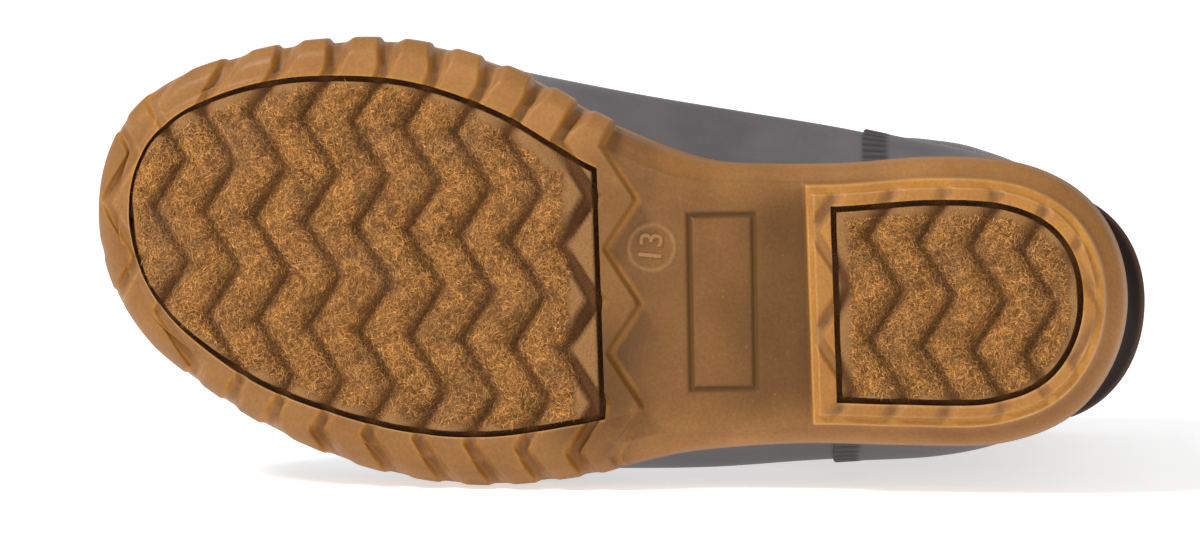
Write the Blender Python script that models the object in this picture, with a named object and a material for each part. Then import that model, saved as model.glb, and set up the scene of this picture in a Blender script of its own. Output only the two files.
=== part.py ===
"""Child's lace-up duck boot for the right foot, lying on its lateral side.

The pieces are modelled in the boot's own frame and are laid down together at the end. In that frame
x runs from the toe tip to the back of the heel, y to the lateral side, and z up from the ground.
"""

from collections import namedtuple
from functools import lru_cache

import bmesh
import bpy
import numpy as np
from mathutils import Matrix, Vector

MM = 0.001

# Driving dimensions of the boot
SOLE_LENGTH = 220 * MM
BALL_WIDTH = 91.5 * MM
BOOT_HEIGHT = 150 * MM
CLEARANCE = 0.3 * MM

# Middle of the boot's weight, near enough to choose the face it lies on
BALANCE = (0.55 * SOLE_LENGTH, 0.04 * BALL_WIDTH, 0.28 * BOOT_HEIGHT)

# Outsole
LUG_DEPTH = 3.2 * MM
LUG_PITCH = 10.9 * MM
LUG_WIDTH = 6.7 * MM
LUG_COUNT = 11
ZIGZAG_PERIOD = 21.8 * MM
ZIGZAG_DEPTH = 6.7 * MM
ZIGZAG_SKEW = 0.125
FORE_PEAK_ROW = 8.8 * MM
FORE_LAST_PEAK = 117.4 * MM
HEEL_PEAK_ROW = 1.0 * MM
HEEL_LAST_PEAK = 214.3 * MM
HEEL_LUG_COUNT = 6
TOE_SPRING = 8 * MM
SPRING_LENGTH = 62 * MM
RIB_PROUD = 1.3 * MM
RIB_TOP = 11 * MM
SHANK_LIFT = 3.3 * MM
HEEL_SHOULDER_LIFT = 2.3 * MM
FLOOR_THICKNESS = 5.6 * MM
HEEL_RISE = 5.5 * MM
CUP_WALL_FOOT = 4.0 * MM
CUP_WALL_TOP = 3.0 * MM
RIM_LEAN = 0.6 * MM

# Tread inserts, set in a recess of the outsole behind an open groove
GROOVE_WIDTH = 0.9 * MM
INSERT_THICKNESS = 5.3 * MM
TOE_MARGIN = 7.2 * MM
BALL_MARGIN = 11.2 * MM
FORE_INSERT_END = 107.4 * MM
HEEL_MARGIN = 10.2 * MM
HEEL_INSERT_START = 159.2 * MM

# Heel block: a ledge, and the tread ring on it
BLOCK_MARGIN = 4.3 * MM
BLOCK_START = 152.6 * MM
LEDGE_HEIGHT = 1.3 * MM
RING_MARGIN = 6.2 * MM
RING_STEP = 1.5 * MM
BLOCK_ROOT = 7.6 * MM

# Upper walls, measured inwards from the skin that the upper's rings make
SHELL_WALL = 2.2 * MM
SHAFT_WALL = 2.0 * MM
INSOLE_THICKNESS = 3.0 * MM
INSOLE_MARGIN = 0.6 * MM
TONGUE_THICKNESS = 2.8 * MM
TONGUE_GAP = 0.5 * MM
COLLAR_PROUD = 1.6 * MM
EYESTAY_THICKNESS = 1.2 * MM
COUNTER_THICKNESS = 0.9 * MM
STRIP_THICKNESS = 1.7 * MM
KICK_DEPTH = 6.0 * MM
BACKSTAY_THICKNESS = 1.1 * MM
THROAT_HALF_WIDTH_FOOT = 8.5 * MM
THROAT_HALF_WIDTH_TOP = 12.5 * MM
EYESTAY_WIDTH = 10.5 * MM

# Lacing
EYELET_COUNT = 4
EYELET_RADIUS = 2.6 * MM
EYELET_WIRE = 0.65 * MM
LACE_RADIUS = 1.1 * MM

# Points nearer than this are one point after a cut or a join
WELD = 0.01 * MM

# How finely the curved pieces are cut into faces: an even number of points round the foot
ROUND_POINTS = 52
SHAFT_COLUMNS = 41

# Plan outlines, at shares of the sole length. Centre and fullness are shares of the ball width:
# fullness is the half width over the sine of the station's angle, so one value all along is an ellipse.
PlanRow = namedtuple("PlanRow", "station centre fullness")

SOLE_PLAN = (
    PlanRow(0.00, -0.040, 0.730),
    PlanRow(0.02, -0.030, 0.684),
    PlanRow(0.05, -0.019, 0.648),
    PlanRow(0.10, -0.008, 0.602),
    PlanRow(0.20, 0.015, 0.574),
    PlanRow(0.30, 0.038, 0.546),
    PlanRow(0.40, 0.067, 0.491),
    PlanRow(0.50, 0.095, 0.408),
    PlanRow(0.60, 0.087, 0.348),
    PlanRow(0.70, 0.061, 0.355),
    PlanRow(0.80, 0.033, 0.419),
    PlanRow(0.90, 0.019, 0.530),
    PlanRow(0.97, 0.016, 0.627),
    PlanRow(1.00, 0.016, 0.660),
)

GIRTH_PLAN = (
    PlanRow(0.00, -0.036, 0.680),
    PlanRow(0.10, -0.005, 0.556),
    PlanRow(0.20, 0.015, 0.531),
    PlanRow(0.30, 0.036, 0.507),
    PlanRow(0.40, 0.055, 0.474),
    PlanRow(0.50, 0.062, 0.448),
    PlanRow(0.60, 0.059, 0.436),
    PlanRow(0.70, 0.048, 0.440),
    PlanRow(0.80, 0.042, 0.468),
    PlanRow(0.90, 0.033, 0.535),
    PlanRow(1.00, 0.030, 0.620),
)

COLLAR_PLAN = (
    PlanRow(0.00, 0.030, 0.500),
    PlanRow(1.00, 0.030, 0.500),
)

# Rings of the upper above the sole's rim, from low to high. Each is a tilted loop from a front point to
# a back point: x in shares of the sole length, z in shares of the boot height. The plan is a mix of the
# girth outline and the collar's ellipse, the width a share of that plan's, and the sides sag by a share
# of the boot height.
Ring = namedtuple("Ring", "level front_x front_z back_x back_z ellipse width sag")

UPPER_RINGS = (
    Ring(0.20, 0.030, 0.245, 0.982, 0.270, 0.00, 1.00, 0.000),
    Ring(0.30, 0.085, 0.335, 0.978, 0.345, 0.00, 0.965, -0.010),
    Ring(0.40, 0.185, 0.395, 0.970, 0.400, 0.15, 0.900, -0.030),
    Ring(0.50, 0.330, 0.465, 0.962, 0.455, 0.35, 0.830, -0.045),
    Ring(0.62, 0.455, 0.570, 0.958, 0.550, 0.65, 0.760, -0.030),
    Ring(0.74, 0.530, 0.690, 0.962, 0.670, 0.90, 0.720, -0.010),
    Ring(0.87, 0.560, 0.840, 0.972, 0.830, 1.00, 0.735, 0.000),
    Ring(1.00, 0.562, 1.000, 0.990, 1.025, 1.00, 0.770, 0.000),
)

FEATHER_LEVEL = 0.0
RIM_LEVEL = 0.10
SHELL_LEVELS = (FEATHER_LEVEL, RIM_LEVEL, 0.115, 0.16, 0.22, 0.28, 0.34, 0.39, 0.44, 0.48)
SHAFT_LEVELS = (0.44, 0.485, 0.55, 0.62, 0.70, 0.78, 0.86, 0.92)
COLLAR_LEVELS = (0.922, 0.95, 0.98, 1.00)
COUNTER_LEVELS = (0.115, 0.16, 0.22, 0.28, 0.34, 0.39)
TONGUE_LEVELS = (0.40, 0.44, 0.48, 0.55, 0.62, 0.70, 0.78, 0.86, 0.92, 0.98, 1.04)
EYESTAY_LEVELS = (0.485, 0.55, 0.62, 0.70, 0.78, 0.86, 0.915)
BACKSTAY_LEVELS = (0.485, 0.55, 0.62, 0.70, 0.78, 0.86, 0.915)
KICK_LEVELS = (0.225, 0.28, 0.315)
EYELET_LEVELS = (0.56, 0.88)

# Where a piece starts and ends round the foot, as angles from the toe in half turns (1 is the heel)
STRIP_TURNS = (0.653, 0.667, 0.672)
KICK_HALF = 0.135
BACKSTAY_HALF = 0.17
TONGUE_MARGIN = 5.0 * MM

# Rim of the sole's side wall above the ground, at shares of the sole length
RIM_HEIGHTS = ((0.0, 28 * MM), (0.12, 25 * MM), (0.30, 21 * MM), (0.55, 20 * MM), (0.78, 24 * MM), (1.0, 27 * MM))

# Sections of the sole's edge, from the ground up: how far in from the outline and how far up, as shares
# of the ribs' height. The shoulder lies between the ribs; the ribs' own outline stands proud of it.
EdgeRow = namedtuple("EdgeRow", "inset lift")

SHOULDER = (
    EdgeRow(0.455, 0.000),
    EdgeRow(0.136, 0.236),
    EdgeRow(0.000, 0.680),
)

RIB_OUTLINE = (
    EdgeRow(0.590, 0.000),
    EdgeRow(0.220, 0.080),
    EdgeRow(0.045, 0.330),
    EdgeRow(0.000, 0.590),
    EdgeRow(0.000, 1.000),
    EdgeRow(0.200, 1.200),
)

MATERIALS = {
    "gum": ((0.50, 0.27, 0.105), 0.50),
    "flock": ((0.33, 0.165, 0.05), 0.95),
    "shell_rubber": ((0.105, 0.090, 0.092), 0.42),
    "black_rubber": ((0.012, 0.012, 0.014), 0.35),
    "leather": ((0.12, 0.055, 0.028), 0.55),
    "collar_fabric": ((0.045, 0.032, 0.026), 0.85),
    "lining": ((0.10, 0.08, 0.065), 0.90),
    "lace": ((0.14, 0.085, 0.045), 0.80),
    "eyelet_metal": ((0.30, 0.22, 0.13), 0.35),
}


def smooth_between(knots, values, at):
    """Value at a place on the smooth curve through a table's rows, straight on past its ends."""
    knots = np.asarray(knots, float)
    values = np.asarray(values, float)
    slopes = np.gradient(values, knots, axis=0)
    row = int(np.clip(np.searchsorted(knots, at) - 1, 0, len(knots) - 2))
    span = knots[row + 1] - knots[row]
    inside = float(np.clip(at, knots[0], knots[-1]))
    s = (inside - knots[row]) / span
    blend = (
        (1 + 2 * s) * (1 - s) ** 2 * values[row]
        + s * (1 - s) ** 2 * span * slopes[row]
        + s * s * (3 - 2 * s) * values[row + 1]
        + s * s * (s - 1) * span * slopes[row + 1]
    )
    end_slope = slopes[0] if at < inside else slopes[-1]
    return blend + (at - inside) * end_slope


@lru_cache(maxsize=None)
def plan_width(table, angle):
    """Centre and fullness of a plan outline at an angle from the toe, 0, to the heel, pi."""
    angles = [np.arccos(1 - 2 * row.station) for row in table]
    values = [(row.centre, row.fullness) for row in table]
    centre, fullness = smooth_between(angles, values, angle)
    return centre * BALL_WIDTH, fullness * BALL_WIDTH


def fold(angle):
    """The angle from the toe to the heel that belongs to a turn round the foot."""
    return np.pi - abs(np.pi - angle % (2 * np.pi))


def plan_point(table, angle):
    """Point of a plan outline at a turn round the foot: lateral side first, then medial."""
    centre, fullness = plan_width(table, fold(angle))
    return np.array([(1 - np.cos(angle)) / 2, centre + fullness * np.sin(angle)])


@lru_cache(maxsize=None)
def sole_point(angle, inset):
    """Point of the sole's outline, moved inwards by the inset."""
    step = 1e-3
    size = np.array([SOLE_LENGTH, 1.0])
    here = plan_point(SOLE_PLAN, angle) * size
    along = (plan_point(SOLE_PLAN, angle + step) - plan_point(SOLE_PLAN, angle - step)) * size
    along /= np.linalg.norm(along)
    return here + inset * np.array([-along[1], along[0]]) * -1


def toe_spring(x):
    """How far the tread lifts off the ground towards the toe."""
    return TOE_SPRING * max(0.0, 1 - x / SPRING_LENGTH) ** 2


def ease(low, high, x):
    """0 below low, 1 above high, and a smooth step between."""
    s = np.clip((x - low) / (high - low), 0, 1)
    return s * s * (3 - 2 * s)


def tread_floor(x):
    """Height of the outsole's underside between the lugs, over the shank and beside the heel block."""
    shank = SHANK_LIFT * ease(0.50 * SOLE_LENGTH, 0.60 * SOLE_LENGTH, x)
    heel = (HEEL_SHOULDER_LIFT - SHANK_LIFT) * ease(0.66 * SOLE_LENGTH, 0.74 * SOLE_LENGTH, x)
    return LUG_DEPTH + toe_spring(x) + shank + heel


def cup_floor(x):
    """Height of the floor that the insole lies on."""
    rise = HEEL_RISE * ease(0.42 * SOLE_LENGTH, 0.76 * SOLE_LENGTH, x)
    return LUG_DEPTH + FLOOR_THICKNESS + toe_spring(x) + rise


def rim_height(x):
    shares, heights = zip(*RIM_HEIGHTS)
    return smooth_between([share * SOLE_LENGTH for share in shares], heights, x)


def rib_depth(x):
    """How far the side wall stands back between the ribs that the lugs' ends make."""
    return RIB_PROUD * (1 - ease(0.49 * SOLE_LENGTH, 0.55 * SOLE_LENGTH, x))


def turns(count, half_step=False):
    """Evenly spaced turns round the foot, from the toe tip or from half a step past it."""
    return 2 * np.pi * (np.arange(count) + (0.5 if half_step else 0.0)) / count


def upper_turns():
    """Turns at which the upper's closed pieces are sampled, with the counter's strips among them."""
    share = [turn / np.pi for turn in turns(ROUND_POINTS)]
    share = [s for s in share if min(abs(abs(1 - s) - abs(1 - t)) for t in STRIP_TURNS) > 0.012]
    return [np.pi * s for s in sorted([*share, *STRIP_TURNS, *[2 - t for t in STRIP_TURNS]])]


def sole_loop(inset, height, half_step=False):
    """Closed loop round the sole. Inset and height may be functions of x."""
    loop = []
    for angle in turns(ROUND_POINTS, half_step):
        x = sole_point(angle, 0.0)[0]
        point = sole_point(angle, inset(x) if callable(inset) else inset)
        loop.append((*point, height(point[0]) if callable(height) else height))
    return np.array(loop)


def ring_point(ring, angle):
    """Point on one of the upper's rings."""
    share = (1 - np.cos(angle)) / 2
    x = SOLE_LENGTH * (ring.front_x + (ring.back_x - ring.front_x) * share)
    z = BOOT_HEIGHT * (ring.front_z + (ring.back_z - ring.front_z) * share + ring.sag * np.sin(angle) ** 2)
    girth = plan_point(GIRTH_PLAN, angle)[1]
    ellipse = plan_point(COLLAR_PLAN, angle)[1]
    return np.array([x, ring.width * (girth * (1 - ring.ellipse) + ellipse * ring.ellipse), z])


@lru_cache(maxsize=None)
def foot_rings(angle):
    """Levels of the upper's rings and their points at one turn round the foot, from the sole up."""
    feather = sole_point(angle, CUP_WALL_FOOT)
    rim = sole_point(angle, CUP_WALL_TOP)
    levels = [FEATHER_LEVEL, RIM_LEVEL] + [ring.level for ring in UPPER_RINGS]
    points = [np.array([*feather, cup_floor(feather[0])]), np.array([*rim, rim_height(rim[0])])]
    points += [ring_point(ring, angle) for ring in UPPER_RINGS]
    return levels, points


def skin(level, angle, depth=0.0):
    """Point on the upper's outer form, or at a depth inside it; a negative depth stands proud."""
    levels, points = foot_rings(angle)
    here = smooth_between(levels, points, level)
    if depth == 0:
        return here
    step = 1e-3
    near_levels, before = foot_rings(angle - step)
    after = foot_rings(angle + step)[1]
    around = smooth_between(near_levels, after, level) - smooth_between(near_levels, before, level)
    if level < RIM_LEVEL + step:
        upwards = np.array(points[1]) - np.array(points[0])
    else:
        upwards = smooth_between(levels, points, level + step) - smooth_between(levels, points, level - step)
    outward = np.cross(upwards, around)
    outward /= np.linalg.norm(outward)
    return here - outward * depth


def layer(levels, angles, depth):
    """Grid of points of the upper. Depth is one value, or a function of level and angle."""
    return np.array(
        [
            [skin(level, angle, depth(level, angle) if callable(depth) else depth) for angle in angles]
            for level in levels
        ]
    )


def new_object(name, work, material):
    """Makes a bmesh an object with its own material."""
    bmesh.ops.recalc_face_normals(work, faces=work.faces[:])
    mesh = bpy.data.meshes.new(name)
    work.to_mesh(mesh)
    work.free()
    obj = bpy.data.objects.new(name, mesh)
    parts_collection.objects.link(obj)
    if material:
        obj.data.materials.append(make_material(name, *MATERIALS[material]))
    return obj


def make_material(name, colour, roughness):
    material = bpy.data.materials.new(name)
    material.use_nodes = True
    shader = material.node_tree.nodes["Principled BSDF"]
    shader.inputs["Base Color"].default_value = (*colour, 1)
    shader.inputs["Roughness"].default_value = roughness
    shader.inputs["Metallic"].default_value = 1.0 if "eyelet" in name else 0.0
    return material


def close_across(work, loop, half_step):
    """Closes a loop round the foot with faces from its lateral to its medial side."""
    count = len(loop)
    last = count - 1 if half_step else count
    for i in range(count // 2):
        corners = [loop[i], loop[i + 1], loop[(last - i - 1) % count], loop[(last - i) % count]]
        corners = list(dict.fromkeys(corners))
        if len(corners) > 2:
            work.faces.new(corners)


def stack_of_loops(name, loops, material=None, half_step=False):
    """Solid through closed loops round the foot, closed across its first and its last loop.

    Loops have a point at the toe tip, or with half_step lie half a step round from it.
    """
    work = bmesh.new()
    rows = [[work.verts.new(point) for point in loop] for loop in loops]
    for low, high in zip(rows, rows[1:]):
        for i in range(len(low)):
            j = (i + 1) % len(low)
            work.faces.new((low[i], low[j], high[j], high[i]))
    close_across(work, rows[0], half_step)
    close_across(work, rows[-1], half_step)
    return new_object(name, work, material)


def wall_between(name, outer, inner, material, wraps=False):
    """Solid wall between two grids of points. It wraps where the grids go all round the foot."""
    work = bmesh.new()
    sides = [[[work.verts.new(point) for point in row] for row in grid] for grid in (outer, inner)]
    row_count, column_count = len(outer), len(outer[0])
    last = column_count if wraps else column_count - 1
    for side in sides:
        for r in range(row_count - 1):
            for c in range(last):
                d = (c + 1) % column_count
                work.faces.new((side[r][c], side[r][d], side[r + 1][d], side[r + 1][c]))
    for r in (0, row_count - 1):
        for c in range(last):
            d = (c + 1) % column_count
            work.faces.new((sides[0][r][c], sides[0][r][d], sides[1][r][d], sides[1][r][c]))
    if not wraps:
        for c in (0, column_count - 1):
            for r in range(row_count - 1):
                work.faces.new((sides[0][r][c], sides[0][r + 1][c], sides[1][r + 1][c], sides[1][r][c]))
    return new_object(name, work, material)


def combine(target, other, operation):
    """Joins, cuts or intersects the target with the other object, and removes the other."""
    modifier = target.modifiers.new(operation.lower(), "BOOLEAN")
    modifier.operation = operation
    modifier.object = other
    bpy.context.view_layer.update()
    evaluated = target.evaluated_get(bpy.context.evaluated_depsgraph_get())
    result = bpy.data.meshes.new_from_object(evaluated)
    target.modifiers.clear()
    target.data = result
    bpy.data.objects.remove(other)
    work = bmesh.new()
    work.from_mesh(result)
    bmesh.ops.remove_doubles(work, verts=work.verts[:], dist=WELD)
    bmesh.ops.dissolve_degenerate(work, edges=work.edges[:], dist=WELD)
    work.to_mesh(result)
    work.free()
    return target


def cut_across(obj, x, keep_front):
    """Cuts a solid by the upright plane through x, skewed as the tread's rows are, and closes it."""
    work = bmesh.new()
    work.from_mesh(obj.data)
    normal = Vector((1, -ZIGZAG_SKEW, 0)) * (1 if keep_front else -1)
    geometry = work.verts[:] + work.edges[:] + work.faces[:]
    cut = bmesh.ops.bisect_plane(work, geom=geometry, plane_co=(x, 0, 0), plane_no=normal, clear_outer=True)
    edges = [item for item in cut["geom_cut"] if isinstance(item, bmesh.types.BMEdge)]
    bmesh.ops.contextual_create(work, geom=edges)
    bmesh.ops.recalc_face_normals(work, faces=work.faces[:])
    work.to_mesh(obj.data)
    work.free()
    return obj


def zigzag(y, peak_row):
    """Share of the zigzag's depth at y: 0 at a peak towards the heel, 1 at a valley."""
    turn = abs((y - peak_row) / ZIGZAG_PERIOD % 1 - 0.5) * 2
    return 1 - turn


def zigzag_bars(name, peaks, peak_row, start, end, top):
    """Upright zigzag bars right across the sole, one for each peak, up to a height that follows x.

    Each bar's two sides keep the distances start and end from the zigzag line through its peak.
    """
    half = ZIGZAG_PERIOD / 2
    reach = int(np.ceil(BALL_WIDTH / ZIGZAG_PERIOD))
    rows = [peak_row + half * n for n in range(-2 * reach, 2 * reach + 1)]
    rows = [y for y in rows if abs(y) < 0.75 * BALL_WIDTH]
    work = bmesh.new()
    for peak in peaks:
        grid = []
        for y in rows:
            line = peak + ZIGZAG_SKEW * (y - peak_row) - ZIGZAG_DEPTH * zigzag(y, peak_row)
            front, rear = line + start, line + end
            corners = ((front, -LUG_DEPTH), (rear, -LUG_DEPTH), (rear, top(rear)), (front, top(front)))
            grid.append([work.verts.new((x, y, z)) for x, z in corners])
        for here, there in zip(grid, grid[1:]):
            for i in range(4):
                j = (i + 1) % 4
                work.faces.new((here[i], here[j], there[j], there[i]))
        work.faces.new(grid[0])
        work.faces.new(grid[-1])
    return new_object(name, work, None)


def fore_margin(x):
    """Width of the outsole's rim outside the forefoot insert."""
    return TOE_MARGIN + (BALL_MARGIN - TOE_MARGIN) * min(1.0, x / FORE_INSERT_END)


def fore_peaks():
    return [FORE_LAST_PEAK - LUG_PITCH * k for k in range(LUG_COUNT)]


def heel_peaks():
    return [HEEL_LAST_PEAK - LUG_PITCH * k for k in range(HEEL_LUG_COUNT)]


def make_sole_base():
    """The gum sole, still solid: underside, shoulder, side wall and rim."""
    loops = []
    for row in SHOULDER:
        inset = lambda x, row=row: row.inset * RIB_TOP + rib_depth(x)
        height = lambda x, row=row: row.lift * RIB_TOP + tread_floor(x)
        loops.append(sole_loop(inset, height))
    loops.append(sole_loop(lambda x: RIM_LEAN + 0.3 * rib_depth(x), rim_height))
    return stack_of_loops("outsole", loops, "gum")


def make_cup_cavity():
    """The room that the upper stands in, down to the floor that the insole lies on."""
    angles = upper_turns()
    floor = [skin(FEATHER_LEVEL, angle, -CLEARANCE) - np.array([0, 0, CLEARANCE]) for angle in angles]
    rim = [skin(RIM_LEVEL, angle, -CLEARANCE) for angle in angles]
    above = [high + 0.5 * (high - low) for low, high in zip(floor, rim)]
    return stack_of_loops("cavity", [floor, rim, above])


def make_fore_ribs():
    """The forefoot's chevron lugs, rounded over the edge and up the side wall as ribs."""
    loops = []
    for row in RIB_OUTLINE:
        height = lambda x, row=row: row.lift * RIB_TOP + toe_spring(x)
        loops.append(sole_loop(row.inset * RIB_TOP, height, half_step=True))
    envelope = stack_of_loops("fore_ribs", loops, half_step=True)
    bars = zigzag_bars("lug_bars", fore_peaks(), FORE_PEAK_ROW, -LUG_WIDTH, 0.0, lambda x: 3 * RIB_TOP)
    return combine(envelope, bars, "INTERSECT")


def slab(name, inset, low, high, start=None, end=None, material=None, half_step=False):
    """Plate with the sole's outline, inset, between two heights, cut across at its start or its end."""
    loops = [sole_loop(inset, height, half_step) for height in (low, high)]
    obj = stack_of_loops(name, loops, material, half_step)
    if start is not None:
        cut_across(obj, start, keep_front=False)
    if end is not None:
        cut_across(obj, end, keep_front=True)
    return obj


def insert_top(x):
    return toe_spring(x) + INSERT_THICKNESS


def recess_top(x):
    return insert_top(x) + CLEARANCE


def grooves(name, peaks, peak_row, depth=LUG_DEPTH):
    """Zigzag bars that fill the grooves behind the lugs, up to a depth above the ground."""
    top = lambda x: toe_spring(x) + depth
    return zigzag_bars(name, peaks, peak_row, 0.0, LUG_PITCH - LUG_WIDTH, top)


def make_outsole():
    outsole = combine(make_sole_base(), make_fore_ribs(), "UNION")
    block = slab("block", BLOCK_MARGIN, LEDGE_HEIGHT, BLOCK_ROOT, start=BLOCK_START, half_step=True)
    outsole = combine(outsole, block, "UNION")
    ring_root = BLOCK_ROOT - LEDGE_HEIGHT
    ring = slab("ring", RING_MARGIN, 0.0, ring_root, start=BLOCK_START + RING_STEP, half_step=True)
    combine(ring, grooves("notches", heel_peaks(), HEEL_PEAK_ROW, LEDGE_HEIGHT), "DIFFERENCE")
    outsole = combine(outsole, ring, "UNION")
    outsole = combine(outsole, make_cup_cavity(), "DIFFERENCE")
    recess = slab(
        "fore_recess",
        lambda x: fore_margin(x) - GROOVE_WIDTH,
        -LUG_DEPTH,
        recess_top,
        end=FORE_INSERT_END + GROOVE_WIDTH,
    )
    outsole = combine(outsole, recess, "DIFFERENCE")
    recess = slab(
        "heel_recess",
        HEEL_MARGIN - GROOVE_WIDTH,
        -LUG_DEPTH,
        recess_top,
        start=HEEL_INSERT_START - GROOVE_WIDTH,
    )
    return combine(outsole, recess, "DIFFERENCE")


def make_inserts():
    fore = slab("forefoot_tread", fore_margin, toe_spring, insert_top, end=FORE_INSERT_END, material="flock")
    combine(fore, grooves("fore_grooves", fore_peaks(), FORE_PEAK_ROW), "DIFFERENCE")
    heel = slab("heel_tread", HEEL_MARGIN, toe_spring, insert_top, start=HEEL_INSERT_START, material="flock")
    combine(heel, grooves("heel_grooves", heel_peaks(), HEEL_PEAK_ROW), "DIFFERENCE")


def make_shell():
    angles = upper_turns()
    wall_between(
        "foot_shell",
        layer(SHELL_LEVELS, angles, 0.0),
        layer(SHELL_LEVELS, angles, SHELL_WALL),
        "shell_rubber",
        wraps=True,
    )


def make_insole():
    depth = SHELL_WALL + INSOLE_MARGIN
    edge = [skin(FEATHER_LEVEL, angle, depth) for angle in upper_turns()]
    lift = np.array([0, 0, INSOLE_THICKNESS])
    stack_of_loops("insole", [edge, [point + lift for point in edge]], "lining")


def angle_at_width(level, width):
    """Turn from the front of the boot at which the upper's skin is that far from its middle."""
    middle = skin(level, 0.0)[1]
    low, high = 0.0, np.pi / 2
    for _ in range(24):
        half = (low + high) / 2
        if abs(skin(level, half)[1] - middle) < width:
            low = half
        else:
            high = half
    return low


def throat_half_width(level):
    share = (level - SHAFT_LEVELS[0]) / (1 - SHAFT_LEVELS[0])
    return THROAT_HALF_WIDTH_FOOT + (THROAT_HALF_WIDTH_TOP - THROAT_HALF_WIDTH_FOOT) * share


def open_layer(levels, depth, start, end, count):
    """Grid of the upper whose rows run between two turns that may change with the level."""
    rows = []
    for level in levels:
        angles = np.linspace(start(level), end(level), count)
        rows.append([skin(level, angle, depth(level, angle) if callable(depth) else depth) for angle in angles])
    return np.array(rows)


def throat_edge(level, extra=0.0):
    return angle_at_width(level, throat_half_width(level) + extra)


def make_shaft():
    depth = SHELL_WALL + CLEARANCE
    grids = [
        open_layer(
            SHAFT_LEVELS,
            d,
            throat_edge,
            lambda level: 2 * np.pi - throat_edge(level),
            SHAFT_COLUMNS,
        )
        for d in (depth, depth + SHAFT_WALL)
    ]
    wall_between("shaft", *grids, "leather")


def make_collar():
    """Padded collar on the shaft's top edge, with a rounded outer and inner face."""
    depth = SHELL_WALL + CLEARANCE
    low, high = COLLAR_LEVELS[0], COLLAR_LEVELS[-1]

    def bulge(level):
        return COLLAR_PROUD * np.sqrt(max(0.0, 1 - ((2 * level - low - high) / (high - low)) ** 2) + 0.05)

    grids = [
        open_layer(
            COLLAR_LEVELS,
            face,
            throat_edge,
            lambda level: 2 * np.pi - throat_edge(level),
            SHAFT_COLUMNS,
        )
        for face in (
            lambda level, angle: depth - bulge(level),
            lambda level, angle: depth + SHAFT_WALL + 0.1 * bulge(level),
        )
    ]
    wall_between("collar", *grids, "collar_fabric")


def make_tongue():
    depth = SHELL_WALL + CLEARANCE + SHAFT_WALL + TONGUE_GAP
    grids = [
        open_layer(
            TONGUE_LEVELS,
            d,
            lambda level: -throat_edge(level, TONGUE_MARGIN),
            lambda level: throat_edge(level, TONGUE_MARGIN),
            9,
        )
        for d in (depth, depth + TONGUE_THICKNESS)
    ]
    wall_between("tongue", *grids, "leather")


def make_eyestays():
    inner = SHELL_WALL
    for side, name in ((1, "eyestay_lateral"), (-1, "eyestay_medial")):
        grids = [
            open_layer(
                EYESTAY_LEVELS,
                d,
                lambda level: side * throat_edge(level, 0.8 * MM),
                lambda level: side * throat_edge(level, EYESTAY_WIDTH),
                5,
            )
            for d in (inner - EYESTAY_THICKNESS, inner)
        ]
        wall_between(name, *grids, "leather")


def make_backstay():
    grids = [
        open_layer(
            BACKSTAY_LEVELS,
            d,
            lambda level: np.pi * (1 - BACKSTAY_HALF),
            lambda level: np.pi * (1 + BACKSTAY_HALF),
            11,
        )
        for d in (SHELL_WALL - BACKSTAY_THICKNESS, SHELL_WALL)
    ]
    wall_between("backstay", *grids, "leather")


def make_counter():
    """Heel counter moulded over the shell, thicker along its front edge on both sides."""
    reach = 1 - STRIP_TURNS[0] + 0.001
    angles = [angle for angle in upper_turns() if abs(1 - angle / np.pi) < reach]

    def face(level, angle):
        on_strip = abs(1 - angle / np.pi) > 1 - STRIP_TURNS[1] - 0.001
        return -CLEARANCE - (STRIP_THICKNESS if on_strip else COUNTER_THICKNESS)

    wall_between(
        "heel_counter",
        layer(COUNTER_LEVELS, angles, face),
        layer(COUNTER_LEVELS, angles, -CLEARANCE),
        "shell_rubber",
    )


def make_kick_lug():
    """Ledge across the back of the counter, for pushing the boot off."""
    inner = -2 * CLEARANCE - COUNTER_THICKNESS
    angles = np.pi * np.linspace(1 - KICK_HALF, 1 + KICK_HALF, 11)

    def face(level, angle):
        edge = abs(1 - angle / np.pi) / KICK_HALF
        return inner - KICK_DEPTH * (1 - 0.55 * edge**3) * (1 if level > KICK_LEVELS[0] else 0.45)

    wall_between("heel_kick", layer(KICK_LEVELS, angles, face), layer(KICK_LEVELS, angles, inner), "black_rubber")


def eyelet_places():
    """Level and turn of each eyelet pair, from the lowest up."""
    levels = np.linspace(*EYELET_LEVELS, EYELET_COUNT)
    return [(level, throat_edge(level, 0.8 * MM + EYESTAY_WIDTH / 2 - 1 * MM)) for level in levels]


def make_eyelets():
    depth = SHELL_WALL - EYESTAY_THICKNESS - 2 * CLEARANCE - EYELET_WIRE
    for number, (level, angle) in enumerate(eyelet_places(), 1):
        for side, word in ((1, "lateral"), (-1, "medial")):
            place = Vector(skin(level, side * angle, depth))
            outward = Vector(skin(level, side * angle, -1.0 * MM) - skin(level, side * angle, 1.0 * MM)).normalized()
            bpy.ops.mesh.primitive_torus_add(
                major_radius=EYELET_RADIUS, minor_radius=EYELET_WIRE, major_segments=10, minor_segments=5
            )
            ring = bpy.context.object
            ring.name = f"eyelet_{word}_{number}"
            ring.data.transform(Matrix.Translation(place) @ outward.to_track_quat("Z", "Y").to_matrix().to_4x4())
            ring.data.materials.clear()
            ring.data.materials.append(make_material(ring.name, *MATERIALS["eyelet_metal"]))
            for collection in list(ring.users_collection):
                collection.objects.unlink(ring)
            parts_collection.objects.link(ring)


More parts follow.
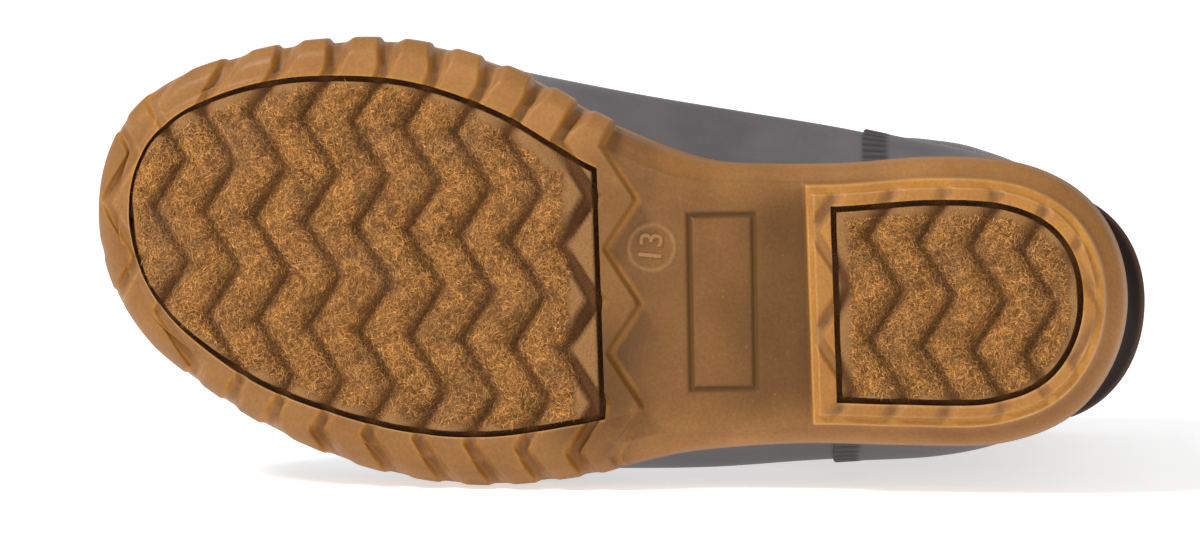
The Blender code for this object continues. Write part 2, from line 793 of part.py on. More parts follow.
def tube(name, points, radius, material):
    """Round tube through points, as a mesh."""
    curve = bpy.data.curves.new(name, "CURVE")
    curve.dimensions = "3D"
    curve.bevel_depth = radius
    curve.bevel_resolution = 1
    curve.use_fill_caps = True
    spline = curve.splines.new("POLY")
    spline.points.add(len(points) - 1)
    for target, point in zip(spline.points, points):
        target.co = (*point, 1)
    shape = bpy.data.objects.new(name, curve)
    parts_collection.objects.link(shape)
    bpy.context.view_layer.update()
    mesh = bpy.data.meshes.new_from_object(shape.evaluated_get(bpy.context.evaluated_depsgraph_get()))
    bpy.data.objects.remove(shape)
    work = bmesh.new()
    work.from_mesh(mesh)
    bmesh.ops.remove_doubles(work, verts=work.verts[:], dist=1e-6)
    return new_object(name, work, material)


def make_lace():
    """Lace crossings outside the eyestays, joined where they meet, with the ends at the top eyelets."""
    depth = SHELL_WALL - EYESTAY_THICKNESS - 4 * CLEARANCE - 2 * EYELET_WIRE - LACE_RADIUS
    places = eyelet_places()

    def run(start, end, sink, past=0.0):
        """Points from one eyelet to another over the front of the boot, sunk a little halfway."""
        points = []
        for share in np.linspace(-past, 1 + past, 6):
            level = start[0] + (end[0] - start[0]) * share
            angle = start[1] + (end[1] - start[1]) * share
            points.append(skin(level, angle, depth + sink * np.sin(np.pi * np.clip(share, 0, 1))))
        return points

    first_level, first_angle = places[0]
    first = run((first_level, first_angle), (first_level, -first_angle), 0.6 * MM, 0.02)
    lace = tube("lace", first, LACE_RADIUS, "lace")
    for (low, low_angle), (high, high_angle) in zip(places, places[1:]):
        for side, sink, past in ((1, 1.0 * MM, 0.03), (-1, 0.2 * MM, 0.045)):
            path = run((low, side * low_angle), (high, -side * high_angle), sink, past)
            combine(lace, tube("crossing", path, LACE_RADIUS, None), "UNION")


def all_pieces():
    return [obj for obj in parts_collection.objects if obj.type == "MESH"]


def resting_turn(points):
    """Rotation that lays the boot on the face of its hull under its middle, lateral side down."""
    work = bmesh.new()
    for point in points:
        work.verts.new(point)
    hull = bmesh.ops.convex_hull(work, input=work.verts[:])
    loose = [item for item in hull["geom_interior"] + hull["geom_unused"] if isinstance(item, bmesh.types.BMVert)]
    bmesh.ops.delete(work, geom=list(set(loose)), context="VERTS")
    bmesh.ops.recalc_face_normals(work, faces=work.faces[:])
    middle = Vector(BALANCE)
    lateral = Vector((0, 1, 0))
    best = None
    for face in work.faces:
        if face.normal.dot(lateral) < 0.8:
            continue
        foot = middle + face.normal * (face.verts[0].co - middle).dot(face.normal)
        corners = [loop.vert.co for loop in face.loops]
        inside = all(
            (there - here).cross(foot - here).dot(face.normal) >= 0
            for here, there in zip(corners, corners[1:] + corners[:1])
        )
        if inside:
            best = face.normal.copy()
    work.free()
    if best is None:
        raise RuntimeError("the boot has no face to lie on")
    return best


def lay_down():
    """Turns the boot on its lateral side, the toe towards -X and the sole towards -Y, and sets it down."""
    pieces = all_pieces()
    points = [vert.co for piece in pieces for vert in piece.data.vertices]
    down = resting_turn(points)
    along = Vector((1, 0, 0))
    along = (along - down * along.dot(down)).normalized()
    up = -down
    away = up.cross(along)
    turn = Matrix((along, away, up)).to_4x4()
    placed = [turn @ point for point in points]
    low = Vector(map(min, zip(*placed)))
    high = Vector(map(max, zip(*placed)))
    shift = Vector((-(low.x + high.x) / 2, -(low.y + high.y) / 2, -low.z))
    root = bpy.data.objects.new("boot", None)
    parts_collection.objects.link(root)
    root.matrix_world = Matrix.Translation(shift) @ turn
    for piece in pieces:
        piece.parent = root
    return root


for old in list(bpy.data.objects):
    bpy.data.objects.remove(old)
parts_collection = bpy.data.collections.new("duck_boot")
bpy.context.scene.collection.children.link(parts_collection)
bpy.context.view_layer.active_layer_collection = bpy.context.view_layer.layer_collection.children["duck_boot"]

make_outsole()
make_inserts()
make_shell()
make_insole()
make_shaft()
make_collar()
make_tongue()
make_eyestays()
make_backstay()
make_counter()
make_kick_lug()
make_eyelets()
make_lace()
lay_down()
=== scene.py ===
# %% [markdown]
# # A child's lace-up duck boot, lying on its side
#
# The CAD model gives every piece its true size and place. Here each piece gets the finish it has in
# life: a gum rubber sole with chevron lugs, tread inserts faced with matted fibre, a rubber shell and a
# laced leather leg. The cells go from the sole, which the photograph shows, to the upper behind it.

# %% Load the frame
import bmesh
import bpy
import numpy as np
from mathutils import Matrix, Vector


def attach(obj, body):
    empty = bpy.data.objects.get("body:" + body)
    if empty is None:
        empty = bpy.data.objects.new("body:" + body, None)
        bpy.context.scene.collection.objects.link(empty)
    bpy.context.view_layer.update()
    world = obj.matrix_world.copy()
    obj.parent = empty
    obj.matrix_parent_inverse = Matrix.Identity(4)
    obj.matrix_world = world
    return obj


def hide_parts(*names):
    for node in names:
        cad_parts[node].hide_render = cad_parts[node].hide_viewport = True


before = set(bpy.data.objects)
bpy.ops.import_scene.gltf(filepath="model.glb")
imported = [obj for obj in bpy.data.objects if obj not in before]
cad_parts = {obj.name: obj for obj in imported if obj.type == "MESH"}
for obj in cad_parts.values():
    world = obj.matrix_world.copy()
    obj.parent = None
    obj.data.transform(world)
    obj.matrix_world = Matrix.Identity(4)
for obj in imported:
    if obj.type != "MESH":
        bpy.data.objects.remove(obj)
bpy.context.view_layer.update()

# %% [markdown]
# ## The boot's own frame
#
# A shoemaker measures along the sole, across it and up from the ground, in millimetres. The boot was
# modelled that way and then laid down, so one matrix takes those measures to their place in the scene.
# Working in the boot's frame keeps every number one that a maker would know.

# %% Measures and the matrix that lays the boot down
SOLE_LENGTH, BALL_WIDTH, BOOT_HEIGHT, CLEARANCE = 220.0, 91.5, 150.0, 0.3
# The attitude and place in which the CAD model comes to rest on its lateral side.
TURN = np.array([[0.99694, -0.07804, -0.00438], [0.0, -0.05603, 0.99843], [-0.07816, -0.99537, -0.05586]])
SHIFT = np.array([-0.11091, -0.07786, 0.05755])


def placed(points):
    """Millimetres in the boot's frame to metres in the scene."""
    return np.asarray(points) @ TURN.T * 0.001 + SHIFT


print("toe tip lies at", placed([0, 0, 10]).round(4), "heel at", placed([220, 0, 10]).round(4))

# %% [markdown]
# ## The outlines and the skin
#
# A last has no straight lines: its plan is a few half widths joined by a smooth curve, and the upper is
# a stack of tilted rings. The tables and the curve are those of the CAD model, read here for whole arrays
# of places at once. Only the leg is taken in, by up to 3 mm at its top, as the photograph shows it.


# %% Smooth curves through tables
def hermite(s, span, low, high, rise, fall):
    """Place on the smooth curve between two rows, a share s of the way along, from the slopes at both."""
    first = (1 + 2 * s) * (1 - s) ** 2 * low + s * (1 - s) ** 2 * span * rise
    return first + s * s * (3 - 2 * s) * high + s * s * (s - 1) * span * fall


def smooth_between(knots, values, at):
    """Values on the smooth curve through a table's rows, straight on past its ends."""
    knots, values, at = np.asarray(knots, float), np.asarray(values, float), np.asarray(at, float)
    slopes = np.gradient(values, knots, axis=0)
    row = np.clip(np.searchsorted(knots, at) - 1, 0, len(knots) - 2)
    span, inside = knots[row + 1] - knots[row], np.clip(at, knots[0], knots[-1])
    s, over, below = (inside - knots[row]) / span, at - inside, at < inside
    if values.ndim > 1:
        span, s, over, below = span[..., None], s[..., None], over[..., None], below[..., None]
    blend = hermite(s, span, values[row], values[row + 1], slopes[row], slopes[row + 1])
    return blend + over * np.where(below, slopes[0], slopes[-1])


def ease(low, high, x):
    """0 below low, 1 above high, and a smooth step between."""
    s = np.clip((np.asarray(x, float) - low) / (high - low), 0, 1)
    return s * s * (3 - 2 * s)


def bell(off, width):
    """1 on a line and 0 away from it, over about that width."""
    return np.exp(-(off / width) ** 2)


def mix(a, b, share):
    return a + (b - a) * share


# Share of the length, and middle line and half width in shares of the ball's width.
SOLE_PLAN = np.array([
    (0, -0.040, 0.730), (0.02, -0.030, 0.684), (0.05, -0.019, 0.648), (0.10, -0.008, 0.602),
    (0.20, 0.015, 0.574), (0.30, 0.038, 0.546), (0.40, 0.067, 0.491), (0.50, 0.095, 0.408),
    (0.60, 0.087, 0.348), (0.70, 0.061, 0.355), (0.80, 0.033, 0.419), (0.90, 0.019, 0.530),
    (0.97, 0.016, 0.627), (1, 0.016, 0.660)])
GIRTH_PLAN = np.array([
    (0, -0.036, 0.680), (0.10, -0.005, 0.556), (0.20, 0.015, 0.531), (0.30, 0.036, 0.505),
    (0.40, 0.055, 0.467), (0.50, 0.062, 0.437), (0.60, 0.059, 0.423), (0.70, 0.048, 0.424),
    (0.80, 0.042, 0.449), (0.90, 0.033, 0.512), (1, 0.030, 0.598)])
COLLAR_PLAN = np.array([(0, 0.030, 0.500), (1, 0.030, 0.500)])


def plan_y(table, angle):
    """How far to the side a plan outline lies at a turn round the foot: lateral side first."""
    folded = np.pi - np.abs(np.pi - np.mod(angle, 2 * np.pi))
    row = smooth_between(np.arccos(1 - 2 * table[:, 0]), table[:, 1:], folded) * BALL_WIDTH
    return row[..., 0] + row[..., 1] * np.sin(angle)


def sole_outline(angle):
    angle = np.asarray(angle, float)
    return np.stack([SOLE_LENGTH * (1 - np.cos(angle)) / 2, plan_y(SOLE_PLAN, angle)], -1)


def sole_point(angle, inset=0.0):
    """Place on the sole's outline, moved inwards by the inset."""
    along = sole_outline(angle + 1e-3) - sole_outline(angle - 1e-3)
    along /= np.linalg.norm(along, axis=-1, keepdims=True)
    inset = np.broadcast_to(inset, np.shape(angle))[..., None]
    return sole_outline(angle) + inset * np.stack([along[..., 1], -along[..., 0]], -1)


half = np.linspace(0, np.pi, 9)
print("sole widths along the foot, mm:", (plan_y(SOLE_PLAN, half) - plan_y(SOLE_PLAN, -half)).round(1))

# %% Heights along the sole
LUG_DEPTH, GROOVE_WIDTH = 3.2, 1.25


def toe_spring(x):
    return 8.0 * np.maximum(0, 1 - np.asarray(x) / 62.0) ** 2


def tread_floor(x):
    """Height of the underside between the lugs, over the shank and beside the heel block."""
    return LUG_DEPTH + toe_spring(x) + 3.3 * ease(110, 132, x) - 1.0 * ease(145.2, 162.8, x)


def cup_floor(x):
    return LUG_DEPTH + 5.6 + toe_spring(x) + 5.5 * ease(92.4, 167.2, x)


def rim_height(x):
    places = np.array([0, 0.12, 0.30, 0.55, 0.78, 1]) * SOLE_LENGTH
    return smooth_between(places, [28, 25, 21, 20, 24, 27], x)


print("rim heights, mm:", rim_height(np.array([0, 60, 120, 180, 220])).round(1))

# %% The skin of the upper
# Level, front and back ends in shares of the length and height, share of the collar's form, width, sag.
RINGS = np.array([
    (0.20, 0.030, 0.245, 0.982, 0.270, 0, 1, 0),
    (0.30, 0.085, 0.335, 0.978, 0.345, 0, 0.965, -0.010),
    (0.40, 0.185, 0.395, 0.970, 0.400, 0.15, 0.900, -0.030),
    (0.50, 0.330, 0.465, 0.962, 0.455, 0.35, 0.830, -0.045),
    (0.62, 0.455, 0.570, 0.958, 0.550, 0.65, 0.745, -0.030),
    (0.74, 0.530, 0.690, 0.957, 0.670, 0.90, 0.690, -0.010),
    (0.87, 0.560, 0.840, 0.963, 0.830, 1, 0.688, 0),
    (1.00, 0.562, 1.000, 0.977, 1.025, 1, 0.705, 0)])
LEVELS = np.array([0, 0.10, *RINGS[:, 0]])


def foot_rings(angle):
    """Points of the sole's inside edge, its rim and the upper's rings, at turns round the foot."""
    feather, rim = sole_point(angle, 4.0), sole_point(angle, 3.0)
    points = [np.stack([*feather.T, cup_floor(feather[:, 0])], -1),
              np.stack([*rim.T, rim_height(rim[:, 0])], -1)]
    share, girth, collar = (1 - np.cos(angle)) / 2, plan_y(GIRTH_PLAN, angle), plan_y(COLLAR_PLAN, angle)
    for level, front_x, front_z, back_x, back_z, ellipse, width, sag in RINGS:
        x = SOLE_LENGTH * mix(front_x, back_x, share)
        z = BOOT_HEIGHT * (mix(front_z, back_z, share) + sag * np.sin(angle) ** 2)
        points.append(np.stack([x, width * mix(girth, collar, ellipse), z], -1))
    return np.array(points)


def on_skin(level, angle):
    points = foot_rings(angle)
    slopes = np.gradient(points, LEVELS, axis=0)
    row, pick = np.clip(np.searchsorted(LEVELS, level) - 1, 0, len(LEVELS) - 2), np.arange(len(angle))
    span, inside = (LEVELS[row + 1] - LEVELS[row])[:, None], np.clip(level, 0, 1)
    s = (inside - LEVELS[row])[:, None] / span
    ends = (table[at, pick] for table in (points, slopes) for at in (row, row + 1))
    blend = hermite(s, span, *ends)
    return blend + (level - inside)[:, None] * slopes[-1, pick]


def skin(level, angle, depth=0.0):
    """Places on the upper's outer form, or at a depth inside it; a negative depth stands proud."""
    level, angle, depth = (np.asarray(v, float) for v in np.broadcast_arrays(level, angle, depth))
    shape, level, angle, depth = level.shape, level.ravel(), angle.ravel(), depth.ravel()
    around = on_skin(level, angle + 1e-3) - on_skin(level, angle - 1e-3)
    upwards = on_skin(level + 1e-3, angle) - on_skin(np.maximum(level - 1e-3, 0), angle)
    low = level < 0.101
    if low.any():
        rings = foot_rings(angle[low])
        upwards[low] = rings[1] - rings[0]
    outward = np.cross(upwards, around)
    outward /= np.linalg.norm(outward, axis=1, keepdims=True)
    return (on_skin(level, angle) - outward * depth[:, None]).reshape(*shape, 3)


def turn_at_width(level, width):
    """Turn from the front of the boot at which the skin is that far from its middle."""
    level, width = (np.asarray(v, float).ravel() for v in np.broadcast_arrays(level, width))
    middle = on_skin(level, np.zeros_like(level))[:, 1]
    low, high = np.zeros_like(level), np.full_like(level, np.pi / 2)
    for _ in range(22):
        half_way = (low + high) / 2
        nearer = np.abs(on_skin(level, half_way)[:, 1] - middle) < width
        low, high = np.where(nearer, half_way, low), np.where(nearer, high, half_way)
    return low


def throat_edge(level, extra=0.0):
    """Turn of the throat's edge, where the tongue shows, and beyond it by the extra."""
    level = np.asarray(level, float)
    return turn_at_width(level, 8.5 + 4.0 * (level - 0.44) / 0.56 + extra)


print("throat edge turns:", throat_edge(np.array([0.5, 0.7, 0.9])).round(3))

# %% [markdown]
# ## From a flat grid to a moulded piece
#
# Every moulded or sewn piece here is a sheet of places: rows from bottom to top and columns round the
# foot. Blender's own grid operator makes the faces, each corner then moves to its place, and the ends
# that meet are merged. It is the digital form of laying a blank over a last, and one helper serves all.


# %% A grid laid over its places
def face_out(mesh, merge=2e-6):
    """Merges corners that meet, turns the faces outwards and shades them smooth."""
    work = bmesh.new()
    work.from_mesh(mesh)
    bmesh.ops.remove_doubles(work, verts=work.verts[:], dist=merge)
    bmesh.ops.dissolve_degenerate(work, edges=work.edges[:], dist=merge)
    open_edges = [edge for edge in work.edges if edge.is_boundary]
    if open_edges:
        bmesh.ops.holes_fill(work, edges=open_edges, sides=0)
    bmesh.ops.recalc_face_normals(work, faces=work.faces[:])
    for face in work.faces:
        face.smooth = True
    work.to_mesh(mesh)
    left_open = sum(edge.is_boundary for edge in work.edges)
    work.free()
    return left_open


def piece_from_mesh(name, mesh, material, replaced):
    piece = bpy.data.objects.new(name, mesh)
    bpy.context.scene.collection.objects.link(piece)
    piece.data.materials.append(material)
    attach(piece, "root")
    if replaced:
        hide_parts(*replaced)
    return piece


def write_mask(mesh, key, values):
    mesh.attributes.new(key, "FLOAT", "POINT").data.foreach_set("value", np.asarray(values, float))


def corner_places(mesh):
    flat = np.empty(len(mesh.vertices) * 3)
    mesh.vertices.foreach_get("co", flat)
    return flat.reshape(-1, 3)


def move_corners(mesh, points):
    """Moves a mesh's corners to places in the boot's frame."""
    mesh.vertices.foreach_set("co", placed(points).ravel())


def laid_grid(name, points, material, replaced=(), closed_rows=False, closed_columns=False,
              masks=None):
    """Piece whose faces come from a flat grid and whose corners go to their places."""
    masks = dict(masks or {})
    for axis, closes in ((0, closed_rows), (1, closed_columns)):
        if closes:
            points = np.concatenate([points, np.take(points, [0], axis)], axis)
            for key, mask in masks.items():
                masks[key] = np.concatenate([mask, np.take(mask, [0], axis)], axis)
    rows, columns = points.shape[:2]
    work = bmesh.new()
    bmesh.ops.create_grid(work, x_segments=columns - 1, y_segments=rows - 1, size=0.5)
    mesh = bpy.data.meshes.new(name)
    work.to_mesh(mesh)
    work.free()
    flat = corner_places(mesh)
    column = np.rint((flat[:, 0] + 0.5) * (columns - 1)).astype(int)
    row = np.rint((flat[:, 1] + 0.5) * (rows - 1)).astype(int)
    move_corners(mesh, points[row, column])
    for key, mask in masks.items():
        write_mask(mesh, key, mask[row, column])
    left_open = face_out(mesh)
    triangles = sum(len(face.vertices) - 2 for face in mesh.polygons)
    print(f"{name}: {triangles} triangles, {left_open} open edges")
    return piece_from_mesh(name, mesh, material, replaced)


def walled(outer, inner, round_edge=0.5):
    """Closed section through an outer and an inner sheet, with rounded edges, pinched shut at both ends."""
    def edge(last, before, other):
        along = last - before
        along /= np.maximum(np.linalg.norm(along, axis=-1, keepdims=True), 1e-9)
        thickness = np.linalg.norm(last - other, axis=-1, keepdims=True)
        return (last + other) / 2 + along * thickness * round_edge / 2
    top, bottom = edge(outer[-1], outer[-2], inner[-1]), edge(outer[0], outer[1], inner[0])
    return np.concatenate([outer, top[None], inner[::-1], bottom[None]])


def pinched(loops, rows_outer, round_edge=0.5):
    """Adds a closing column at each end of a section, where its outer and inner sheet come together."""
    count = len(loops)
    mirror = np.array([(2 * rows_outer - r) % count for r in range(count)])
    ends = []
    for here, inside in ((0, 1), (-1, -2)):
        middle = (loops[:, here] + loops[mirror, here]) / 2
        along = loops[:, here] - loops[:, inside]
        along /= np.maximum(np.linalg.norm(along, axis=-1, keepdims=True), 1e-9)
        along = (along + along[mirror]) / 2
        thickness = np.linalg.norm(loops[:, here] - loops[mirror, here], axis=-1, keepdims=True)
        ends.append(middle + along * thickness * round_edge / 2)
    return np.concatenate([ends[0][:, None], loops, ends[1][:, None]], axis=1)


def sheet_wall(name, outer, inner, material, replaced=(), wraps=False, round_edge=0.5, masks=None):
    """Wall of leather or rubber between two sheets that have the same rows and columns as the masks."""
    loops = walled(outer, inner, round_edge)
    masks = {key: np.concatenate([mask, mask[-1:], mask[::-1], mask[:1]])
             for key, mask in (masks or {}).items()}
    if not wraps:
        loops = pinched(loops, len(outer), round_edge)
        masks = {key: np.pad(mask, ((0, 0), (1, 1)), mode="edge") for key, mask in masks.items()}
    return laid_grid(name, loops, material, replaced, True, wraps, masks)


# %% [markdown]
# ## Building materials from nodes
#
# A finish is a Principled shader fed by patterns. Each pattern is a few nodes, so a short helper places
# a node, sets its values and joins its inputs in one line.


# %% Node helpers
def add(tree, kind, inputs=None, **settings):
    """Places a node; an input may be a value or another node's output."""
    made = tree.nodes.new("ShaderNode" + kind)
    for key, value in settings.items():
        setattr(made, key, value)
    for socket, value in (inputs or {}).items():
        if isinstance(value, bpy.types.NodeSocket):
            tree.links.new(value, made.inputs[socket])
        else:
            made.inputs[socket].default_value = value
    return made


def blank_material(name, **plain):
    """Material with only a Principled shader, whose plain values are set here, and its node tree."""
    material = bpy.data.materials.new(name)
    material.use_nodes = True
    for socket, value in plain.items():
        material.node_tree.nodes["Principled BSDF"].inputs[socket.replace("_", " ")].default_value = value
    return material, material.node_tree


def mask_of(tree, name):
    return add(tree, "Attribute", attribute_name=name).outputs["Fac"]


def blended(tree, share, first, second, blend="MIX"):
    """Colour between two others, by a share that may vary."""
    node = add(tree, "Mix", data_type="RGBA", blend_type=blend, clamp_factor=True)
    for index, value in ((0, share), (6, first), (7, second)):
        if isinstance(value, bpy.types.NodeSocket):
            tree.links.new(value, node.inputs[index])
        else:
            node.inputs[index].default_value = (*value, 1) if isinstance(value, tuple) else value
    return node.outputs[2]


def ramp(tree, share, low, high):
    """Turns a range of a pattern into 0 to 1."""
    return add(tree, "MapRange", {"Value": share, "From Min": low, "From Max": high}).outputs["Result"]


def patches_group():
    """Soft irregular patches and fine speckle, for any finish: a value of each and a bumped normal."""
    tree = bpy.data.node_groups.new("patches_and_grain", "ShaderNodeTree")
    for name in ("Patch Scale", "Grain Scale", "Grain Height", "Distance"):
        tree.interface.new_socket(name=name, in_out="INPUT", socket_type="NodeSocketFloat")
    for name, kind in (("Patches", "Float"), ("Grain", "Float"), ("Normal", "Vector")):
        tree.interface.new_socket(name=name, in_out="OUTPUT", socket_type="NodeSocket" + kind)
    given, out = tree.nodes.new("NodeGroupInput").outputs, tree.nodes.new("NodeGroupOutput")
    place = add(tree, "TexCoord").outputs["Object"]
    patches, grain = (add(tree, "TexNoise", {"Vector": place, "Scale": given[scale], "Detail": detail})
                      for scale, detail in (("Patch Scale", 4.0), ("Grain Scale", 6.0)))
    bump = add(tree, "Bump", {"Height": grain.outputs["Fac"], "Strength": given["Grain Height"],
                              "Distance": given["Distance"]})
    for name, node, output in (("Patches", patches, "Fac"), ("Grain", grain, "Fac"),
                               ("Normal", bump, "Normal")):
        tree.links.new(node.outputs[output], out.inputs[name])
    return tree


patches_and_grain = patches_group()


def grained(tree, patch_scale, grain_scale, height, distance=0.0005):
    node = tree.nodes.new("ShaderNodeGroup")
    node.node_tree = patches_and_grain
    for socket, value in zip(("Patch Scale", "Grain Scale", "Grain Height", "Distance"),
                             (patch_scale, grain_scale, height, distance)):
        node.inputs[socket].default_value = value
    return node.outputs["Patches"], node.outputs["Grain"], node.outputs["Normal"]


def tinted(tree, colour, share, low, high):
    """A colour made darker or lighter by a pattern."""
    return blended(tree, 1.0, colour, blended(tree, share, low, high), "MULTIPLY")


def finished(material, colour, normal=None, roughness=None):
    """Joins a colour to the shader, and if given a normal and a roughness that follows a pattern."""
    tree = material.node_tree
    shader = tree.nodes["Principled BSDF"]
    tree.links.new(colour, shader.inputs["Base Color"])
    if normal:
        tree.links.new(normal, shader.inputs["Normal"])
    if roughness:
        pattern, low, high = roughness
        spread = add(tree, "MapRange", {"Value": pattern, "To Min": low, "To Max": high})
        tree.links.new(spread.outputs["Result"], shader.inputs["Roughness"])
    print("material:", material.name)
    return material


print("node group:", patches_and_grain.name)

# %% [markdown]
# ## Gum rubber
#
# Gum rubber is a warm tan, slightly see-through at thin edges, and it dulls to olive grey where a flat
# face has worn on the ground. The sole's mesh carries masks: how high on a lug a place is, how close to a
# lug's edge, to the groove or to the heel ring. The material mixes the tans by those masks, and some of them
# paint light and shade into the colour: a darker tan in the grooves and a near-black in the groove's recess
# are painted shade, the shank and the gum beside the heel block are darkened by painted shade as well as
# wear, lug edges and the block's corners get a pale painted highlight, and lug walls and the groove's lip
# get a painted amber glow, as of light through the rubber. It also adds soft mottling, because a single
# tan would look like plastic.


# %% The gum material
def gum_material():
    material, tree = blank_material("gum_rubber", Roughness=0.5, IOR=1.45, Subsurface_Weight=0.12,
                                    Subsurface_Scale=0.0015, Specular_IOR_Level=0.3,
                                    Subsurface_Radius=(1.0, 0.45, 0.2))
    patches, grain, normal = grained(tree, 70, 1500, 0.12, 0.0002)
    # Grooves and the heel ring's notches take a darker tan: painted shade.
    colour = blended(tree, mask_of(tree, "low"), (0.340, 0.156, 0.044), (0.232, 0.106, 0.035))
    # Darker, duller tan: wear on flat faces together with painted shade in the concave shank and beside the
    # heel block.
    colour = blended(tree, mask_of(tree, "wear_and_shade"), colour, (0.135, 0.058, 0.012))
    # Amber: a painted glow, as of light through thin rubber, on lug walls, at the groove's lip and on the
    # heel block's step and ring.
    colour = blended(tree, mask_of(tree, "ledge"), colour, (0.44, 0.190, 0.028))
    # Pale tan: painted highlight on lug edges, the heel block's corners and raised marks, together with the
    # pale rubber at mould seams.
    colour = blended(tree, mask_of(tree, "flash_and_highlight"), colour, (0.56, 0.32, 0.14))
    colour = tinted(tree, colour, ramp(tree, patches, 0.35, 0.70), (0.84, 0.81, 0.76), (1.06, 1.07, 1.09))
    colour = tinted(tree, colour, ramp(tree, grain, 0.36, 0.64), (0.90, 0.89, 0.87), (1.06, 1.06, 1.06))
    colour = blended(tree, ramp(tree, grain, 0.70, 0.84), colour, (0.42, 0.24, 0.11))
    # Near-black brown in the groove's recess, the frame line and hidden borders: painted shade.
    colour = blended(tree, mask_of(tree, "groove"), colour, (0.100, 0.043, 0.007))
    return finished(material, colour, normal, (patches, 0.40, 0.62))


gum = gum_material()

# %% [markdown]
# ## The chevron tread
#
# The tread is one pattern: zigzag rows 10.9 mm apart, each with a lug and a groove. On the forefoot the
# lugs run over the sole's edge and up its side as ribs. A function says how far a place is from the
# nearest lug's edge, so the same pattern can shape the gum margin, the inserts and the heel ring.

# %% Distance to the nearest lug
LUG_PITCH, PERIOD, ZIGZAG_DEPTH, SKEW = 10.9, 21.8, 6.7, 0.125
FORE, HEEL = (117.4, 8.8), (214.3, 1.0)
HALF_GROOVE, RING_LUG, INSERT_LUG = 1.2, 8.3, 7.4
FORE_REAR, HEEL_FRONT, INSERT_MARGIN = 107.4, 159.2, 10.2
# The bare gum between the inserts' grooves, along the slant.
BED_START, BED_END = FORE_REAR + GROOVE_WIDTH, HEEL_FRONT - GROOVE_WIDTH
# The heel block and the ring on it: front edge along the slant, and inset from the outline.
BLOCK_FRONT, BLOCK_INSET, RING_FRONT, RING_INSET, BLOCK_HEIGHT = 152.6, 4.3, 154.1, 6.2, 1.3


def zigzag(y, peak_row):
    """0 at a peak towards the heel and 1 at a valley, its corners a little rounded as moulds leave them."""
    turn = np.arccos(0.99 * np.cos(2 * np.pi * (y - peak_row) / PERIOD)) / np.pi
    low = np.arccos(0.99) / np.pi
    return (turn - low) / (1 - 2 * low)


def lug_distance(x, y, pattern, width):
    """Millimetres inside a lug's edge, negative in a groove."""
    last_peak, peak_row = pattern
    ahead = last_peak + SKEW * (y - peak_row) - ZIGZAG_DEPTH * zigzag(y, peak_row) - x
    t = np.mod(ahead, LUG_PITCH)
    return np.where(t < width, np.minimum(t, width - t), np.maximum(width - t, t - LUG_PITCH))


def gum_distance(x, y):
    """Millimetres inside a lug of the gum margin, whose grooves are narrow, and from a groove's middle;
    beyond the last medial peak the grooves run straight out to the edge."""
    last_peak, peak_row = FORE
    past_peak = np.maximum(0, peak_row - 2 * PERIOD - y)
    turned = np.maximum(y, peak_row - 2 * PERIOD)
    lean = 1.3 * (1 - np.exp(-past_peak / 2.5))
    ahead = last_peak + SKEW * (y - peak_row) - ZIGZAG_DEPTH * zigzag(turned, peak_row) + lean - x
    middle = 8.75 - 0.6 * np.clip(y / 40, -1, 1)
    off = np.mod(ahead - middle + LUG_PITCH / 2, LUG_PITCH) - LUG_PITCH / 2
    return np.where(ahead < 2, ahead, np.abs(off) - HALF_GROOVE), np.where(ahead < -1.8, 5.0, off)


def step(distance, wall):
    """0 to 1 across an edge whose wall is that wide."""
    return ease(-wall / 2, wall / 2, distance)


def groove_floor(x):
    """The gum grooves are shallow at the toe and deepen towards the shank."""
    share = mix(0.30, 0.62, ease(4, 50, x)) + 0.38 * ease(92, 108, x)
    return tread_floor(x) - LUG_DEPTH * (1 - share)


def gum_lug(x, y, inset):
    """1 on a lug and 0 in a groove, steep behind the lug, rounder before it and most so at the edge."""
    distance, off = gum_distance(x, y)
    at_edge = 1 - ease(1.5, 6, inset)
    return ease(-0.5, np.where(off < 0, 1.2 + 1.6 * at_edge, 0.5 + 0.5 * at_edge), distance)


def gum_bottom(x, y, inset):
    """Height of the gum sole's underside and its forms, from the place and the distance from the outline."""
    lug = gum_lug(x, y, inset) * (1 - ease(121, 124, x))
    z = mix(groove_floor(x), toe_spring(x), lug)
    past = x - SKEW * y
    rise = np.interp(inset, [0, 0.5, 1.5, 3.0, 4.0, 5.0], [7.5, 4.9, 2.6, 0.9, 0.3, 0]) * ease(130, 150, x)
    block = step(inset - BLOCK_INSET, 0.7) * step(past - BLOCK_FRONT, 0.8)
    z = mix(z + rise, BLOCK_HEIGHT, block)
    ring = step(inset - RING_INSET, 0.7) * step(past - RING_FRONT, 0.7)
    notch = 1 - step(lug_distance(x, y, HEEL, RING_LUG), 1.4)
    return mix(z, BLOCK_HEIGHT * notch, ring), lug, block, ring, notch


